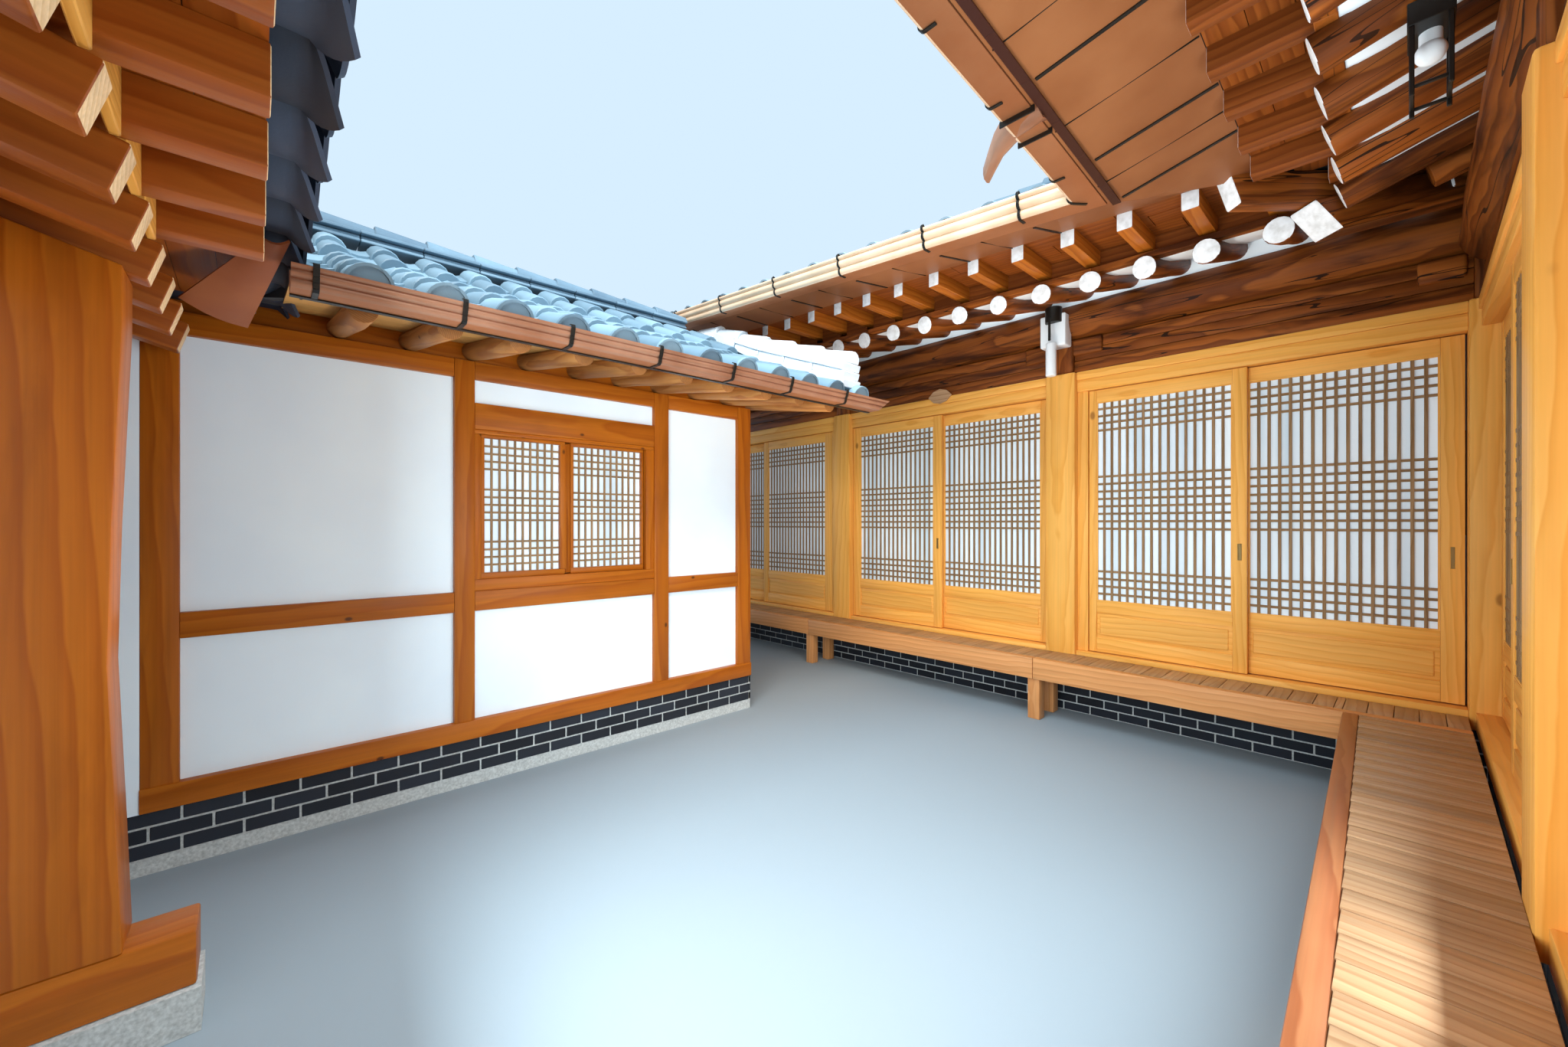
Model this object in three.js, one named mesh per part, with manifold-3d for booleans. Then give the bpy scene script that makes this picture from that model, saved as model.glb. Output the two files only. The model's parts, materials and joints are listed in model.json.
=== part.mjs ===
import * as THREE from 'three';
import { mergeVertices } from 'three/addons/utils/BufferGeometryUtils.js';
import Module from 'manifold-3d';

// A hanok courtyard house, in millimetres: a tall L of two wings with one valley roof, a low wing on the left,
// and a low near wing with a covered passage. +X runs along the back facade to the right, +Y away from the entrance.
// Plan sizes are measured from one spot in the courtyard; the last group moves the middle of the house to the origin.

const wasm = await Module();
wasm.setup();

const touch = 0.3;

// Levels
const baseTop = 400;
const floorTop = 500;
const leafTop = 2534;
const headBottom = 2540;
const headStep = 2630;
const beamBottom = 2695;
const purlinBottom = 2960;
const purlinRadius = 150;
const porchTop = 470;

// Tall wings
const columnSize = 228;
const backColumnY = 4880;
const backColumnXs = [-6590, -4250, -1911, 320];
const rightColumnX = 320;
const rightColumnYs = [4880, 2480, 80];
const rearLineY = 7720;
const outerLineX = 3780;
const outerWallThick = 140;
const cornerPlateTop = 3135;
const rearWindowXs = [-4100, -100];
const windowBar = 60;
const outerWindowWide = 900;
const outerWindowZ = [1400, 2300];
const backDoorY = 4830;
const rightDoorX = 270;

// Tall roof: both wings share one half width, so valley and hip lie at 45 degrees
const eaveCornerX = -930;
const eaveCornerY = 3320;
const roofHalf = 2980;
const ridgeX = eaveCornerX + roofHalf;
const ridgeY = eaveCornerY + roofHalf;
const roofWest = -6950;
const roofNear = -600;
const eaveUnder = 3280;
const eaveTileDeep = 100;
const courtEaveOut = 120;
const courtEaveUnder = 3200;
const ridgeTop = 4880;
const eaveLiftEnd = 3500;
const courtLift = 83;
const outerLift = 250;
const outerLiftReach = 4500;
const rafterRadius = 67;
const rafterPitch = 310;
const rightRafterPitch = 290;
const rafterTip = 650;
const rightRafterTip = 700;
const rafterTipZ = 3040;
const rafterLift = 0.03;
const rightRafterLift = 0.045;
const flyingTip = 300;
const rightFlyingTip = 410;
const flyingWide = 80;
const flyingHigh = 100;
const gutterDeep = 120;
const gutterHigh = 125;
const gutterBack = 148;
const gutterFlare = 40;
const gutterUnder = 3112;
const gutterSheet = 6;

// Door leaves
const leafThick = 33;
const trackStep = 45;
const leafClear = 6;
const paneThick = 8;
const skidLong = 40;
const jambWide = 73;
const panelZ = [619, 808];
const panelSunk = 8;
const paneBottom = 900;
const paneTop = 2440;
const stileWide = 80;

// Where parts of the tall roof stop
const beamClear = 200;
const flyingClear = 160;
const flyingShortest = 400;
const rafterShortest = 250;
const rafterTopClear = 60;
const upperBoardThick = 30;
const flyingSunk = 18;
const flyingRoot = 1150;
const flyingTipZ = 3200;
const flyingLift = 0.045;
const ridgeHigh = 300;
const ridgeHalf = 150;

// Porches
const porchFrontY = 4400;
const porchFrontFar = -258;
const porchFrontNear = -122;
const porchEdgeWide = 65;
const porchBeamHigh = 160;
const porchPost = 90;
const porchBoard = 40;
const porchWest = -6000;
const backPostXs = [-5900, -4400, -1970];

// Left wing
const leftFaceX = -3645;
const leftDeep = 2110;
const leftPost = 115;
const leftPostYs = [[-350, -232], [839, 944], [2107, 2223], [2858, 2988]];
const leftSill = [267, 372];
const leftRail = [997, 1110];
const leftPlate = [2330, 2480];
const leftGrade = 0.158;
const leftTip = 70;
const leftRidgeHigh = 110;
const leftRidgeHalf = 110;
const leftRidgeFar = 3000;
const leftVergeHigh = [240, 200, 75];
const leftVergeY = [3130, 3340];
const leftWindowTop = 2045;
const leftEaveX = -2780;
const leftRidgeX = -4700;
const leftRidgeTop = 3330;
const leftRoofSag = 0.46;
const leftEaveUnder = 2400;
const leftRoofFar = 3400;
const leftRafterRadius = 52;
const leftRafterPitch = 305;
const leftRafterFirst = 330;
const leftSashes = [[1000, 1443], [1538, 2026]];
const leftSashZ = [1212, 2000];
const leftLintelHigh = 150;
const leftTile = 110;
const leftGutter = { under: 2335, deep: 105, high: 80, back: 93, flare: 30 };

// Near wing
const nearFaceY = -620;
const nearWallHalf = 60;
const nearPostFront = -266;
const nearPostWest = -2630;
const nearPostEast = -2450;
const nearSillEnd = -120;
const nearBaseTop = 130;
const nearSillTop = 290;
const nearEast = 150;
const leftNearY = -2800;
const nearEaveEdge = 100;
const nearTile = 250;
const nearGrade = 0.3;
const nearTip = 310;
const nearFlyingTip = 70;
const nearFlyingRoot = 620;
const nearFlyingZ = 2430;
const nearFlyingHigh = 115;
const nearRidgeHalf = 120;
const nearRidgeHigh = 200;
const nearRidgeY = -1570;
const nearEaveUnder = 2492;
const nearRidgeTop = 3650;
const nearPlate = [2155, 2315];
const nearRafterFirst = 230;
const nearWindowX = [-1600, -700];
const nearWindowZ = [1000, 1900];
const passageDoorY = [-1900, -1050];
const passageDoorTop = 1950;
const nearRafterWide = 90;
const nearRafterHigh = 120;

const paints = {
  brick: { color: 0x1c1e24, roughness: 0.85, metalness: 0 },
  plaster: { color: 0xe6ecf2, roughness: 0.9, metalness: 0 },
  oldPine: { color: 0x7a3e18, roughness: 0.55, metalness: 0 },
  honeyPine: { color: 0xd9a85a, roughness: 0.5, metalness: 0 },
  oiledPine: { color: 0xb8741f, roughness: 0.5, metalness: 0 },
  porchPine: { color: 0xc98a5a, roughness: 0.5, metalness: 0 },
  copper: { color: 0xb5714f, roughness: 0.4, metalness: 0.8 },
  greyTile: { color: 0x6f8390, roughness: 0.75, metalness: 0 },
  blackTile: { color: 0x2b2f38, roughness: 0.75, metalness: 0 },
  glass: { color: 0xcfd8dc, roughness: 0.1, metalness: 0 },
};

// Solids

function toSolid(geometry) {
  const bare = geometry.clone();
  bare.deleteAttribute('normal');
  bare.deleteAttribute('uv');
  const merged = mergeVertices(bare, 0.001);
  return new wasm.Manifold(new wasm.Mesh({
    numProp: 3,
    vertProperties: new Float32Array(merged.attributes.position.array),
    triVerts: new Uint32Array(merged.index.array),
  }));
}

function box(x0, x1, y0, y1, z0, z1) {
  const geometry = new THREE.BoxGeometry(x1 - x0, y1 - y0, z1 - z0);
  geometry.translate((x0 + x1) / 2, (y0 + y1) / 2, (z0 + z1) / 2);
  return toSolid(geometry);
}

function joined(solids) {
  return solids.reduce((sum, next) => sum.add(next));
}

// A plan outline pulled up from z0 to z1
function prism(points, z0, z1) {
  const shape = new THREE.Shape(points.map(([x, y]) => new THREE.Vector2(x, y)));
  const geometry = new THREE.ExtrudeGeometry(shape, { depth: z1 - z0, bevelEnabled: false });
  geometry.translate(0, 0, z0);
  return toSolid(geometry);
}

// An outline in the Y-Z plane pulled along X
function prismX(points, x0, x1) {
  const shape = new THREE.Shape(points.map(([y, z]) => new THREE.Vector2(y, z)));
  const geometry = new THREE.ExtrudeGeometry(shape, { depth: x1 - x0, bevelEnabled: false });
  geometry.applyMatrix4(new THREE.Matrix4().makeBasis(
    new THREE.Vector3(0, 1, 0), new THREE.Vector3(0, 0, 1), new THREE.Vector3(1, 0, 0)));
  geometry.translate(x0, 0, 0);
  return toSolid(geometry);
}

// An outline in the X-Z plane pulled along Y
function prismY(points, y0, y1) {
  const shape = new THREE.Shape(points.map(([x, z]) => new THREE.Vector2(x, z)));
  const geometry = new THREE.ExtrudeGeometry(shape, { depth: y1 - y0, bevelEnabled: false });
  geometry.applyMatrix4(new THREE.Matrix4().makeBasis(
    new THREE.Vector3(1, 0, 0), new THREE.Vector3(0, 0, 1), new THREE.Vector3(0, -1, 0)));
  geometry.translate(0, y1, 0);
  return toSolid(geometry);
}

// Turns a shape that lies along local X, with local Z up, onto the line between two points
function laid(geometry, from, to) {
  const a = new THREE.Vector3(...from);
  const b = new THREE.Vector3(...to);
  const along = b.clone().sub(a).normalize();
  const side = new THREE.Vector3(0, 0, 1).cross(along).normalize();
  const up = along.clone().cross(side);
  geometry.applyMatrix4(new THREE.Matrix4().makeBasis(along, side, up));
  geometry.translate((a.x + b.x) / 2, (a.y + b.y) / 2, (a.z + b.z) / 2);
  return toSolid(geometry);
}

function distance(from, to) {
  return new THREE.Vector3(...to).distanceTo(new THREE.Vector3(...from));
}

// A round log between two points, with an edge on top and one below
function log(from, to, radius, sides) {
  const geometry = new THREE.CylinderGeometry(radius, radius, distance(from, to), sides, 1);
  geometry.rotateZ(-Math.PI / 2);
  return laid(geometry, from, to);
}

// A square-edged stick between two points, its sides upright
function stick(from, to, wide, high) {
  return laid(new THREE.BoxGeometry(distance(from, to), wide, high), from, to);
}

// A closed outline carried through a row of positions
function loft(rings) {
  const size = rings[0].length;
  const positions = rings.flat().flat();
  const faces = [];
  for (let i = 0; i + 1 < rings.length; i += 1) {
    for (let j = 0; j < size; j += 1) {
      const [p, q] = [i * size + j, i * size + (j + 1) % size];
      faces.push(p, q, q + size, p, q + size, p + size);
    }
  }
  const flat = flattened(rings[0]);
  const cap = THREE.ShapeUtils.triangulateShape(flat, []);
  const last = (rings.length - 1) * size;
  const turned = THREE.ShapeUtils.isClockWise(flat);
  for (const [p, q, r] of cap) {
    if (turned) faces.push(p, q, r, last + p, last + r, last + q);
    else faces.push(p, r, q, last + p, last + q, last + r);
  }
  return closed(positions, faces);
}

function flattened(ring) {
  const origin = new THREE.Vector3(...ring[0]);
  const side = new THREE.Vector3(...ring[1]).sub(origin).normalize();
  const up = new THREE.Vector3(0, 0, 1).sub(side.clone().multiplyScalar(side.z)).normalize();
  return ring.map((point) => {
    const arm = new THREE.Vector3(...point).sub(origin);
    return new THREE.Vector2(arm.dot(side), arm.dot(up));
  });
}

// A slab between two grids of points with the same rows and columns
function gridSolid(top, bottom) {
  const rows = top.length;
  const columns = top[0].length;
  const positions = [...top.flat(), ...bottom.flat()].flat();
  const at = (layer, i, j) => layer * rows * columns + i * columns + j;
  const faces = [];
  const quad = (a, b, c, d) => faces.push(a, b, c, a, c, d);
  for (let i = 0; i + 1 < rows; i += 1) {
    for (let j = 0; j + 1 < columns; j += 1) {
      quad(at(0, i, j), at(0, i, j + 1), at(0, i + 1, j + 1), at(0, i + 1, j));
      quad(at(1, i, j), at(1, i + 1, j), at(1, i + 1, j + 1), at(1, i, j + 1));
    }
  }
  for (let j = 0; j + 1 < columns; j += 1) {
    quad(at(0, 0, j), at(1, 0, j), at(1, 0, j + 1), at(0, 0, j + 1));
    quad(at(0, rows - 1, j), at(0, rows - 1, j + 1), at(1, rows - 1, j + 1), at(1, rows - 1, j));
  }
  for (let i = 0; i + 1 < rows; i += 1) {
    quad(at(0, i, 0), at(0, i + 1, 0), at(1, i + 1, 0), at(1, i, 0));
    quad(at(0, i, columns - 1), at(1, i, columns - 1), at(1, i + 1, columns - 1), at(0, i + 1, columns - 1));
  }
  return closed(positions, faces);
}

// The faces are turned over where they point inwards
function closed(positions, faces) {
  if (signedVolume(positions, faces) < 0) {
    for (let k = 0; k < faces.length; k += 3) [faces[k + 1], faces[k + 2]] = [faces[k + 2], faces[k + 1]];
  }
  return new wasm.Manifold(new wasm.Mesh({
    numProp: 3, vertProperties: new Float32Array(positions), triVerts: new Uint32Array(faces),
  }));
}

function signedVolume(positions, faces) {
  let sum = 0;
  const point = (k) => new THREE.Vector3(positions[3 * k], positions[3 * k + 1], positions[3 * k + 2]);
  for (let k = 0; k < faces.length; k += 3) {
    sum += point(faces[k]).dot(point(faces[k + 1]).cross(point(faces[k + 2])));
  }
  return sum;
}

const house = new THREE.Group();

function place(name, paint, solid) {
  const mesh = solid.getMesh();
  const geometry = new THREE.BufferGeometry();
  geometry.setAttribute('position', new THREE.BufferAttribute(new Float32Array(mesh.vertProperties), 3));
  geometry.setIndex(new THREE.BufferAttribute(new Uint32Array(mesh.triVerts), 1));
  const node = new THREE.Mesh(geometry, new THREE.MeshStandardMaterial(paints[paint]));
  node.name = name;
  house.add(node);
}

// Tall roof
// On each slope s runs along the eave from the corner, and t goes in from the eave towards the ridge

const outerEaveX = ridgeX + roofHalf;
const rearEaveY = ridgeY + roofHalf;
const backSeat = backColumnY - eaveCornerY;
const rightSeat = rightColumnX - eaveCornerX;
const purlinZ = purlinBottom + purlinRadius;

const slopes = {
  back_front: {
    spot: (s, t) => [eaveCornerX - s, eaveCornerY + t], lean: -1, end: eaveCornerX - roofWest, first: 168,
    pitch: rafterPitch, tip: rafterTip, flying: flyingTip, lift: rafterLift, seat: backSeat, wall: eaveCornerX - backColumnXs[0],
  },
  right_inner: {
    spot: (s, t) => [eaveCornerX + t, eaveCornerY - s], lean: -1, end: eaveCornerY - roofNear, first: 370,
    pitch: rightRafterPitch, tip: rightRafterTip, flying: rightFlyingTip, lift: rightRafterLift, seat: rightSeat,
    wall: eaveCornerY - rightColumnYs[2],
  },
  back_rear: {
    spot: (s, t) => [outerEaveX - s, rearEaveY - t], lean: 1, end: outerEaveX - roofWest, first: 305,
    pitch: rafterPitch, tip: rafterTip, seat: backSeat,
  },
  right_outer: {
    spot: (s, t) => [outerEaveX - t, rearEaveY - s], lean: 1, end: rearEaveY - roofNear, first: 55,
    pitch: rafterPitch, tip: rafterTip, seat: rightSeat,
  },
};

function capped(s) {
  return Math.min(Math.max(0, s), eaveLiftEnd);
}

// Rise of the eave's edge above its lowest height
function eaveLift(slope, s) {
  if (slope.lean < 0) {
    const metres = Math.max(0, s) / 1000;
    return courtLift * metres;
  }
  const near = (reach) => Math.max(0, 1 - reach / outerLiftReach) ** 2;
  return outerLift * (near(s) + near(slope.end - s));
}

// Height of the axis of the lowest rafters, which lie on the back purlin
function lowRafterAxis() {
  let seat = purlinZ + purlinRadius + rafterRadius;
  let grade = 0;
  for (let k = 0; k < 3; k += 1) {
    grade = (seat - rafterTipZ) / (backSeat - rafterTip);
    seat = purlinZ + (purlinRadius + rafterRadius + touch) * Math.hypot(1, grade);
  }
  return { at: (t) => seat + grade * (t - backSeat), grade };
}

const lowRafter = lowRafterAxis();
const rafterHalfHigh = rafterRadius * Math.hypot(1, lowRafter.grade);
const rightPurlinZ = lowRafter.at(rightSeat) - (purlinRadius + rafterRadius + touch) * Math.hypot(1, lowRafter.grade);

// A rafter further from the inner corner turns on its purlin, so that its tip is higher
function rafterAxis(slope, s) {
  const lift = slope.lean < 0 ? slope.lift * capped(s) : 0;
  const grade = lowRafter.grade - lift / (slope.seat - rafterTip);
  return (t) => lowRafter.at(slope.seat) + touch + grade * (t - slope.seat);
}

function tallUnder(slope, s, t) {
  if (t <= 0) return (t < 0 ? courtEaveUnder : eaveUnder) + eaveLift(slope, s);
  const rise = slope.lean < 0 ? capped(s) : 0;
  if (t === flyingTip) return eaveUnder - 15 + flyingLift * rise;
  if (t === rafterTip) return eaveUnder + flyingLift * rise;
  return lowRafter.at(t) + rafterHalfHigh + 2 * touch;
}

function tallTop(slope, s, t) {
  if (t >= roofHalf - ridgeHalf) return ridgeTop;
  const part = t / (roofHalf - ridgeHalf);
  const eave = eaveUnder + eaveTileDeep + eaveLift(slope, s);
  return eave + (ridgeTop - eave) * (0.85 * part + 0.15 * part * part);
}

function tallSlope(slope) {
  const edge = slope.lean < 0 ? -courtEaveOut : 0;
  const stations = [edge, flyingTip, rafterTip, backSeat, 0.75 * roofHalf, roofHalf - ridgeHalf, roofHalf];
  const columns = 8;
  const rows = (height) => stations.map((t) => {
    const row = [];
    const low = slope.lean * t;
    for (let j = 0; j <= columns; j += 1) {
      const s = low + (slope.end - low) * j / columns;
      row.push([...slope.spot(s, t), height(slope, s, t)]);
    }
    return row;
  });
  return gridSolid(rows(tallTop), rows(tallUnder));
}

// Rafters of one slope, joined by the board on their tips and the board across their upper ends;
// on the courtyard side each also carries a square flying rafter
function tallRafters(slope) {
  const { spot, lean, end, first, pitch, tip } = slope;
  const pieces = [];
  const upper = roofHalf - rafterTopClear;
  for (let k = -10; first + k * pitch < end - rafterRadius; k += 1) {
    const s = besideWall(slope, first + k * pitch);
    const start = Math.max(tip, lean < 0 ? beamClear - s : tip);
    const stop = lean > 0 ? Math.min(upper, s - beamClear) : upper;
    if (stop - start < rafterShortest) continue;
    const axis = rafterAxis(slope, s);
    pieces.push(log([...spot(s, start), axis(start)], [...spot(s, stop), axis(stop)], rafterRadius, 6));
    if (lean > 0) continue;
    const flyingStart = Math.max(slope.flying, flyingClear - s);
    if (flyingRoot - flyingStart < flyingShortest) continue;
    const z = flyingTipZ + flyingLift * capped(s);
    const root = Math.min(z, axis(flyingRoot) + rafterRadius + flyingHigh / 2 - flyingSunk);
    pieces.push(stick([...spot(s, flyingStart), z], [...spot(s, flyingRoot), root], flyingWide, flyingHigh));
  }
  pieces.push(eaveBoard(slope));
  if (lean < 0) {
    const t = upper - 20;
    const [high, low] = [rafterAxis(slope, 0)(t), rafterAxis(slope, eaveLiftEnd)(t)];
    const inside = slope.wall - outerWallThick / 2 - 5;
    pieces.push(stick([...spot(beamClear - t, t), (high + low) / 2], [...spot(inside, t), (high + low) / 2],
      upperBoardThick, high - low + rafterRadius));
  }
  return joined(pieces);
}

// A rafter that would meet the gable wall stands outside it
function besideWall(slope, s) {
  const clear = outerWallThick / 2 + rafterRadius + 8;
  return Math.abs(s - slope.wall) < clear ? slope.wall + clear : s;
}

// The board that lies on the rafters' tips
function eaveBoard(slope) {
  const { spot, lean, end, tip } = slope;
  const low = lean < 0 ? beamClear - tip : tip + beamClear;
  const knots = lean < 0 ? [low, 0, eaveLiftEnd, end - 40] : [low, end - 40];
  return loft(knots.map((s) => {
    const z = rafterAxis(slope, s)(tip) + rafterRadius;
    const [near, far] = [spot(s, tip + 10), spot(s, tip + 70)];
    return [[...near, z - 12], [...far, z - 12], [...far, z + 26], [...near, z + 26]];
  }));
}

// A beam under the roof's diagonal, from one station to another; topAt gives its top, deep its upright depth
function diagonalBeam(corner, way, low, high, topAt, wide, deep) {
  const point = (t) => [corner[0] + way[0] * t, corner[1] + way[1] * t, topAt(t) - deep / 2];
  const grade = (topAt(high) - topAt(low)) / (high - low) / Math.SQRT2;
  return stick(point(low), point(high), wide, deep / Math.hypot(1, grade));
}

function tallRoof() {
  for (const [name, slope] of Object.entries(slopes)) {
    place(`${name}_roof`, 'greyTile', tallSlope(slope));
    place(`${name}_rafters`, 'oldPine', tallRafters(slope));
  }
  const under = (t) => lowRafter.at(t) + rafterHalfHigh;
  const inner = [eaveCornerX, eaveCornerY];
  const outer = [outerEaveX, rearEaveY];
  place('valley_beam', 'oldPine', joined([
    diagonalBeam(inner, [1, 1], rafterTip - 30, roofHalf - 100, (t) => under(t) - touch / 2, 180, 106),
    diagonalBeam(inner, [1, 1], flyingTip - 20, flyingRoot - 130, () => flyingTipZ + flyingHigh / 2, 160, flyingHigh),
  ]));
  const hipTop = (t) => under(t) - 34;
  const hipWide = 180;
  const hipSeat = backSeat - outerWallThick / 2 - hipWide / 2 / Math.SQRT2;
  place('hip_beam', 'oldPine', diagonalBeam(outer, [-1, -1], rafterTip - 60, roofHalf - 100,
    hipTop, hipWide, hipTop(hipSeat) - cornerPlateTop - touch));
  place('back_ridge', 'greyTile', box(roofWest, ridgeX - ridgeHalf - touch,
    ridgeY - ridgeHalf, ridgeY + ridgeHalf, ridgeTop + touch, ridgeTop + ridgeHigh));
  place('right_ridge', 'greyTile', box(ridgeX - ridgeHalf, ridgeX + ridgeHalf,
    roofNear, ridgeY + ridgeHalf, ridgeTop + touch, ridgeTop + ridgeHigh));
}

// An open channel along an eave, mitred at the inner corner
function channel(line, deep, high, back, flare) {
  const sheet = gutterSheet;
  const section = [[0, 0], [deep, 0], [deep + flare, high], [deep + flare - sheet, high],
    [deep - sheet, sheet], [sheet, sheet], [sheet, back], [0, back]];
  const steps = 5;
  const rings = [];
  for (let k = 0; k <= steps; k += 1) {
    rings.push(section.map(([out, up]) => line(k / steps, out, up)));
  }
  return loft(rings);
}

function tallGutter(slope) {
  return channel((part, out, up) => {
    const beyond = courtEaveOut + out + touch;
    const s = part === 0 ? beyond : part * slope.end;
    return [...slope.spot(s, -beyond), gutterUnder + eaveLift(slope, part * slope.end) + up];
  }, gutterDeep, gutterHigh, gutterBack, gutterFlare);
}

// Door leaves: a timber frame with a low panel, and a thin glazed field inside it.
// along is 0 for a leaf that slides on X and 1 for one on Y; face is its outer plane, inward the way into the house
function leafSolid(along, from, to, face, inward) {
  const slab = (a0, a1, d0, d1, z0, z1) => {
    const near = face + inward * d0;
    const far = face + inward * d1;
    const [low, high] = near < far ? [near, far] : [far, near];
    return along === 0 ? box(a0, a1, low, high, z0, z1) : box(low, high, a0, a1, z0, z1);
  };
  const field = [from + stileWide, to - stileWide];
  const half = (leafThick - paneThick) / 2;
  const lower = floorTop + leafClear;
  let leaf = slab(from, to, 0, leafThick, lower, leafTop);
  leaf = leaf.subtract(slab(...field, -1, half, paneBottom, paneTop));
  leaf = leaf.subtract(slab(...field, leafThick - half, leafThick + 1, paneBottom, paneTop));
  leaf = leaf.subtract(slab(...field, -1, panelSunk, ...panelZ));
  for (const a of [from + 60, to - 60 - skidLong]) {
    leaf = leaf.add(slab(a, a + skidLong, panelSunk, leafThick - panelSunk, floorTop + touch, lower + 1));
  }
  return leaf;
}

// The pair of leaves of each bay: the first stands on the outer track
const backLeaves = [
  { name: 'back_leaf_1_left', from: -6397, to: -5545, track: 1 },
  { name: 'back_leaf_1_right', from: -5625, to: -4443, track: 0 },
  { name: 'back_leaf_2_left', from: -4127, to: -3030, track: 0 },
  { name: 'back_leaf_2_right', from: -3120, to: -2031, track: 1 },
  { name: 'back_leaf_3_left', from: -1713, to: -736, track: 0 },
  { name: 'back_leaf_3_right', from: -813, to: 198, track: 1 },
];
const rightLeaves = [
  { name: 'right_leaf_1_far', from: 3640, to: 4752, track: 1 },
  { name: 'right_leaf_1_near', from: 2608, to: 3725, track: 0 },
];

function doors() {
  for (const { name, from, to, track } of backLeaves) {
    place(name, 'honeyPine', leafSolid(0, from, to, backDoorY + track * trackStep, 1));
  }
  for (const { name, from, to, track } of rightLeaves) {
    place(name, 'honeyPine', leafSolid(1, from, to, rightDoorX + track * trackStep, 1));
  }
  const low = rightColumnYs[2] + columnSize / 2;
  const high = rightColumnYs[1] - columnSize / 2;
  const middle = (low + high) / 2;
  let screen = box(rightDoorX, rightDoorX + leafThick, low + touch, high - touch, floorTop + touch, headBottom - touch);
  const half = (leafThick - paneThick) / 2;
  for (const [y0, y1] of [[low + jambWide, middle - stileWide / 2], [middle + stileWide / 2, high - jambWide]]) {
    for (const x of [rightDoorX - 1, rightDoorX + leafThick - half]) {
      screen = screen.subtract(box(x, x + half + 1, y0, y1, paneBottom, paneTop));
    }
  }
  place('right_fixed_screen', 'honeyPine', screen);
}

// Column row with its sill, heads and beams; columns stand on the base and carry the purlin.
// rect places a box by its run along the row, its depth across it and its height
function columnRow(rect, centres, line, top, jambs) {
  const half = columnSize / 2;
  const foot = baseTop + touch;
  const low = Math.min(...centres) - half + 1;
  const high = Math.max(...centres) + half - 1;
  const pieces = centres.map((c) => rect(c - half, c + half, line - half, line + half, foot, top));
  pieces.push(rect(low, high, line - 90, line + 90, foot + 1, floorTop));
  pieces.push(rect(low, high, line - 70, line + 70, headBottom, headStep + 1));
  pieces.push(rect(low, high, line - 80, line + 80, headStep, beamBottom));
  pieces.push(rect(low, high, line - 60, line + 60, beamBottom - 1, top - 1));
  for (const [a0, a1] of jambs) pieces.push(rect(a0, a1, line - 56, line + 56, floorTop - 1, headBottom + 1));
  return joined(pieces);
}

function tallFrames() {
  const alongX = (a0, a1, b0, b1, z0, z1) => box(a0, a1, b0, b1, z0, z1);
  const alongY = (a0, a1, b0, b1, z0, z1) => box(b0, b1, a0, a1, z0, z1);
  place('back_front_frame', 'oldPine', columnRow(alongX, backColumnXs, backColumnY, purlinBottom - touch, [
    [-6477, -6403], [-4437, -4363], [-1798, -1719],
  ]));
  const inner = columnRow(alongY, rightColumnYs, rightColumnX, rightPurlinZ - purlinRadius - touch, []);
  const corner = box(rightColumnX - columnSize / 2 - touch, rightColumnX + columnSize / 2 + touch,
    backColumnY - columnSize / 2 - touch, backColumnY + columnSize / 2 + 1, baseTop - 1, purlinBottom + 1);
  place('right_inner_frame', 'oldPine', inner.subtract(corner));
  place('back_front_purlin', 'oldPine', log([roofWest + 60, backColumnY, purlinZ],
    [rightColumnX + 30, backColumnY, purlinZ], purlinRadius, 24));
  place('right_inner_purlin', 'oldPine', log([rightColumnX, roofNear + 60, rightPurlinZ],
    [rightColumnX, backColumnY - purlinRadius - touch, rightPurlinZ], purlinRadius, 24));
}

// A framed window with a middle bar and a thin pane, set in a wall that runs along X
function windowUnit(x0, x1, y, z0, z1) {
  const middle = (x0 + x1) / 2;
  let unit = box(x0 + touch, x1 - touch, y - 45, y + 45, z0 + touch, z1 - touch);
  for (const [a, b] of [[x0 + windowBar, middle - windowBar / 2], [middle + windowBar / 2, x1 - windowBar]]) {
    unit = unit.subtract(box(a, b, y - 46, y - paneThick / 2, z0 + windowBar, z1 - windowBar));
    unit = unit.subtract(box(a, b, y + paneThick / 2, y + 46, z0 + windowBar, z1 - windowBar));
  }
  return unit;
}

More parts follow.
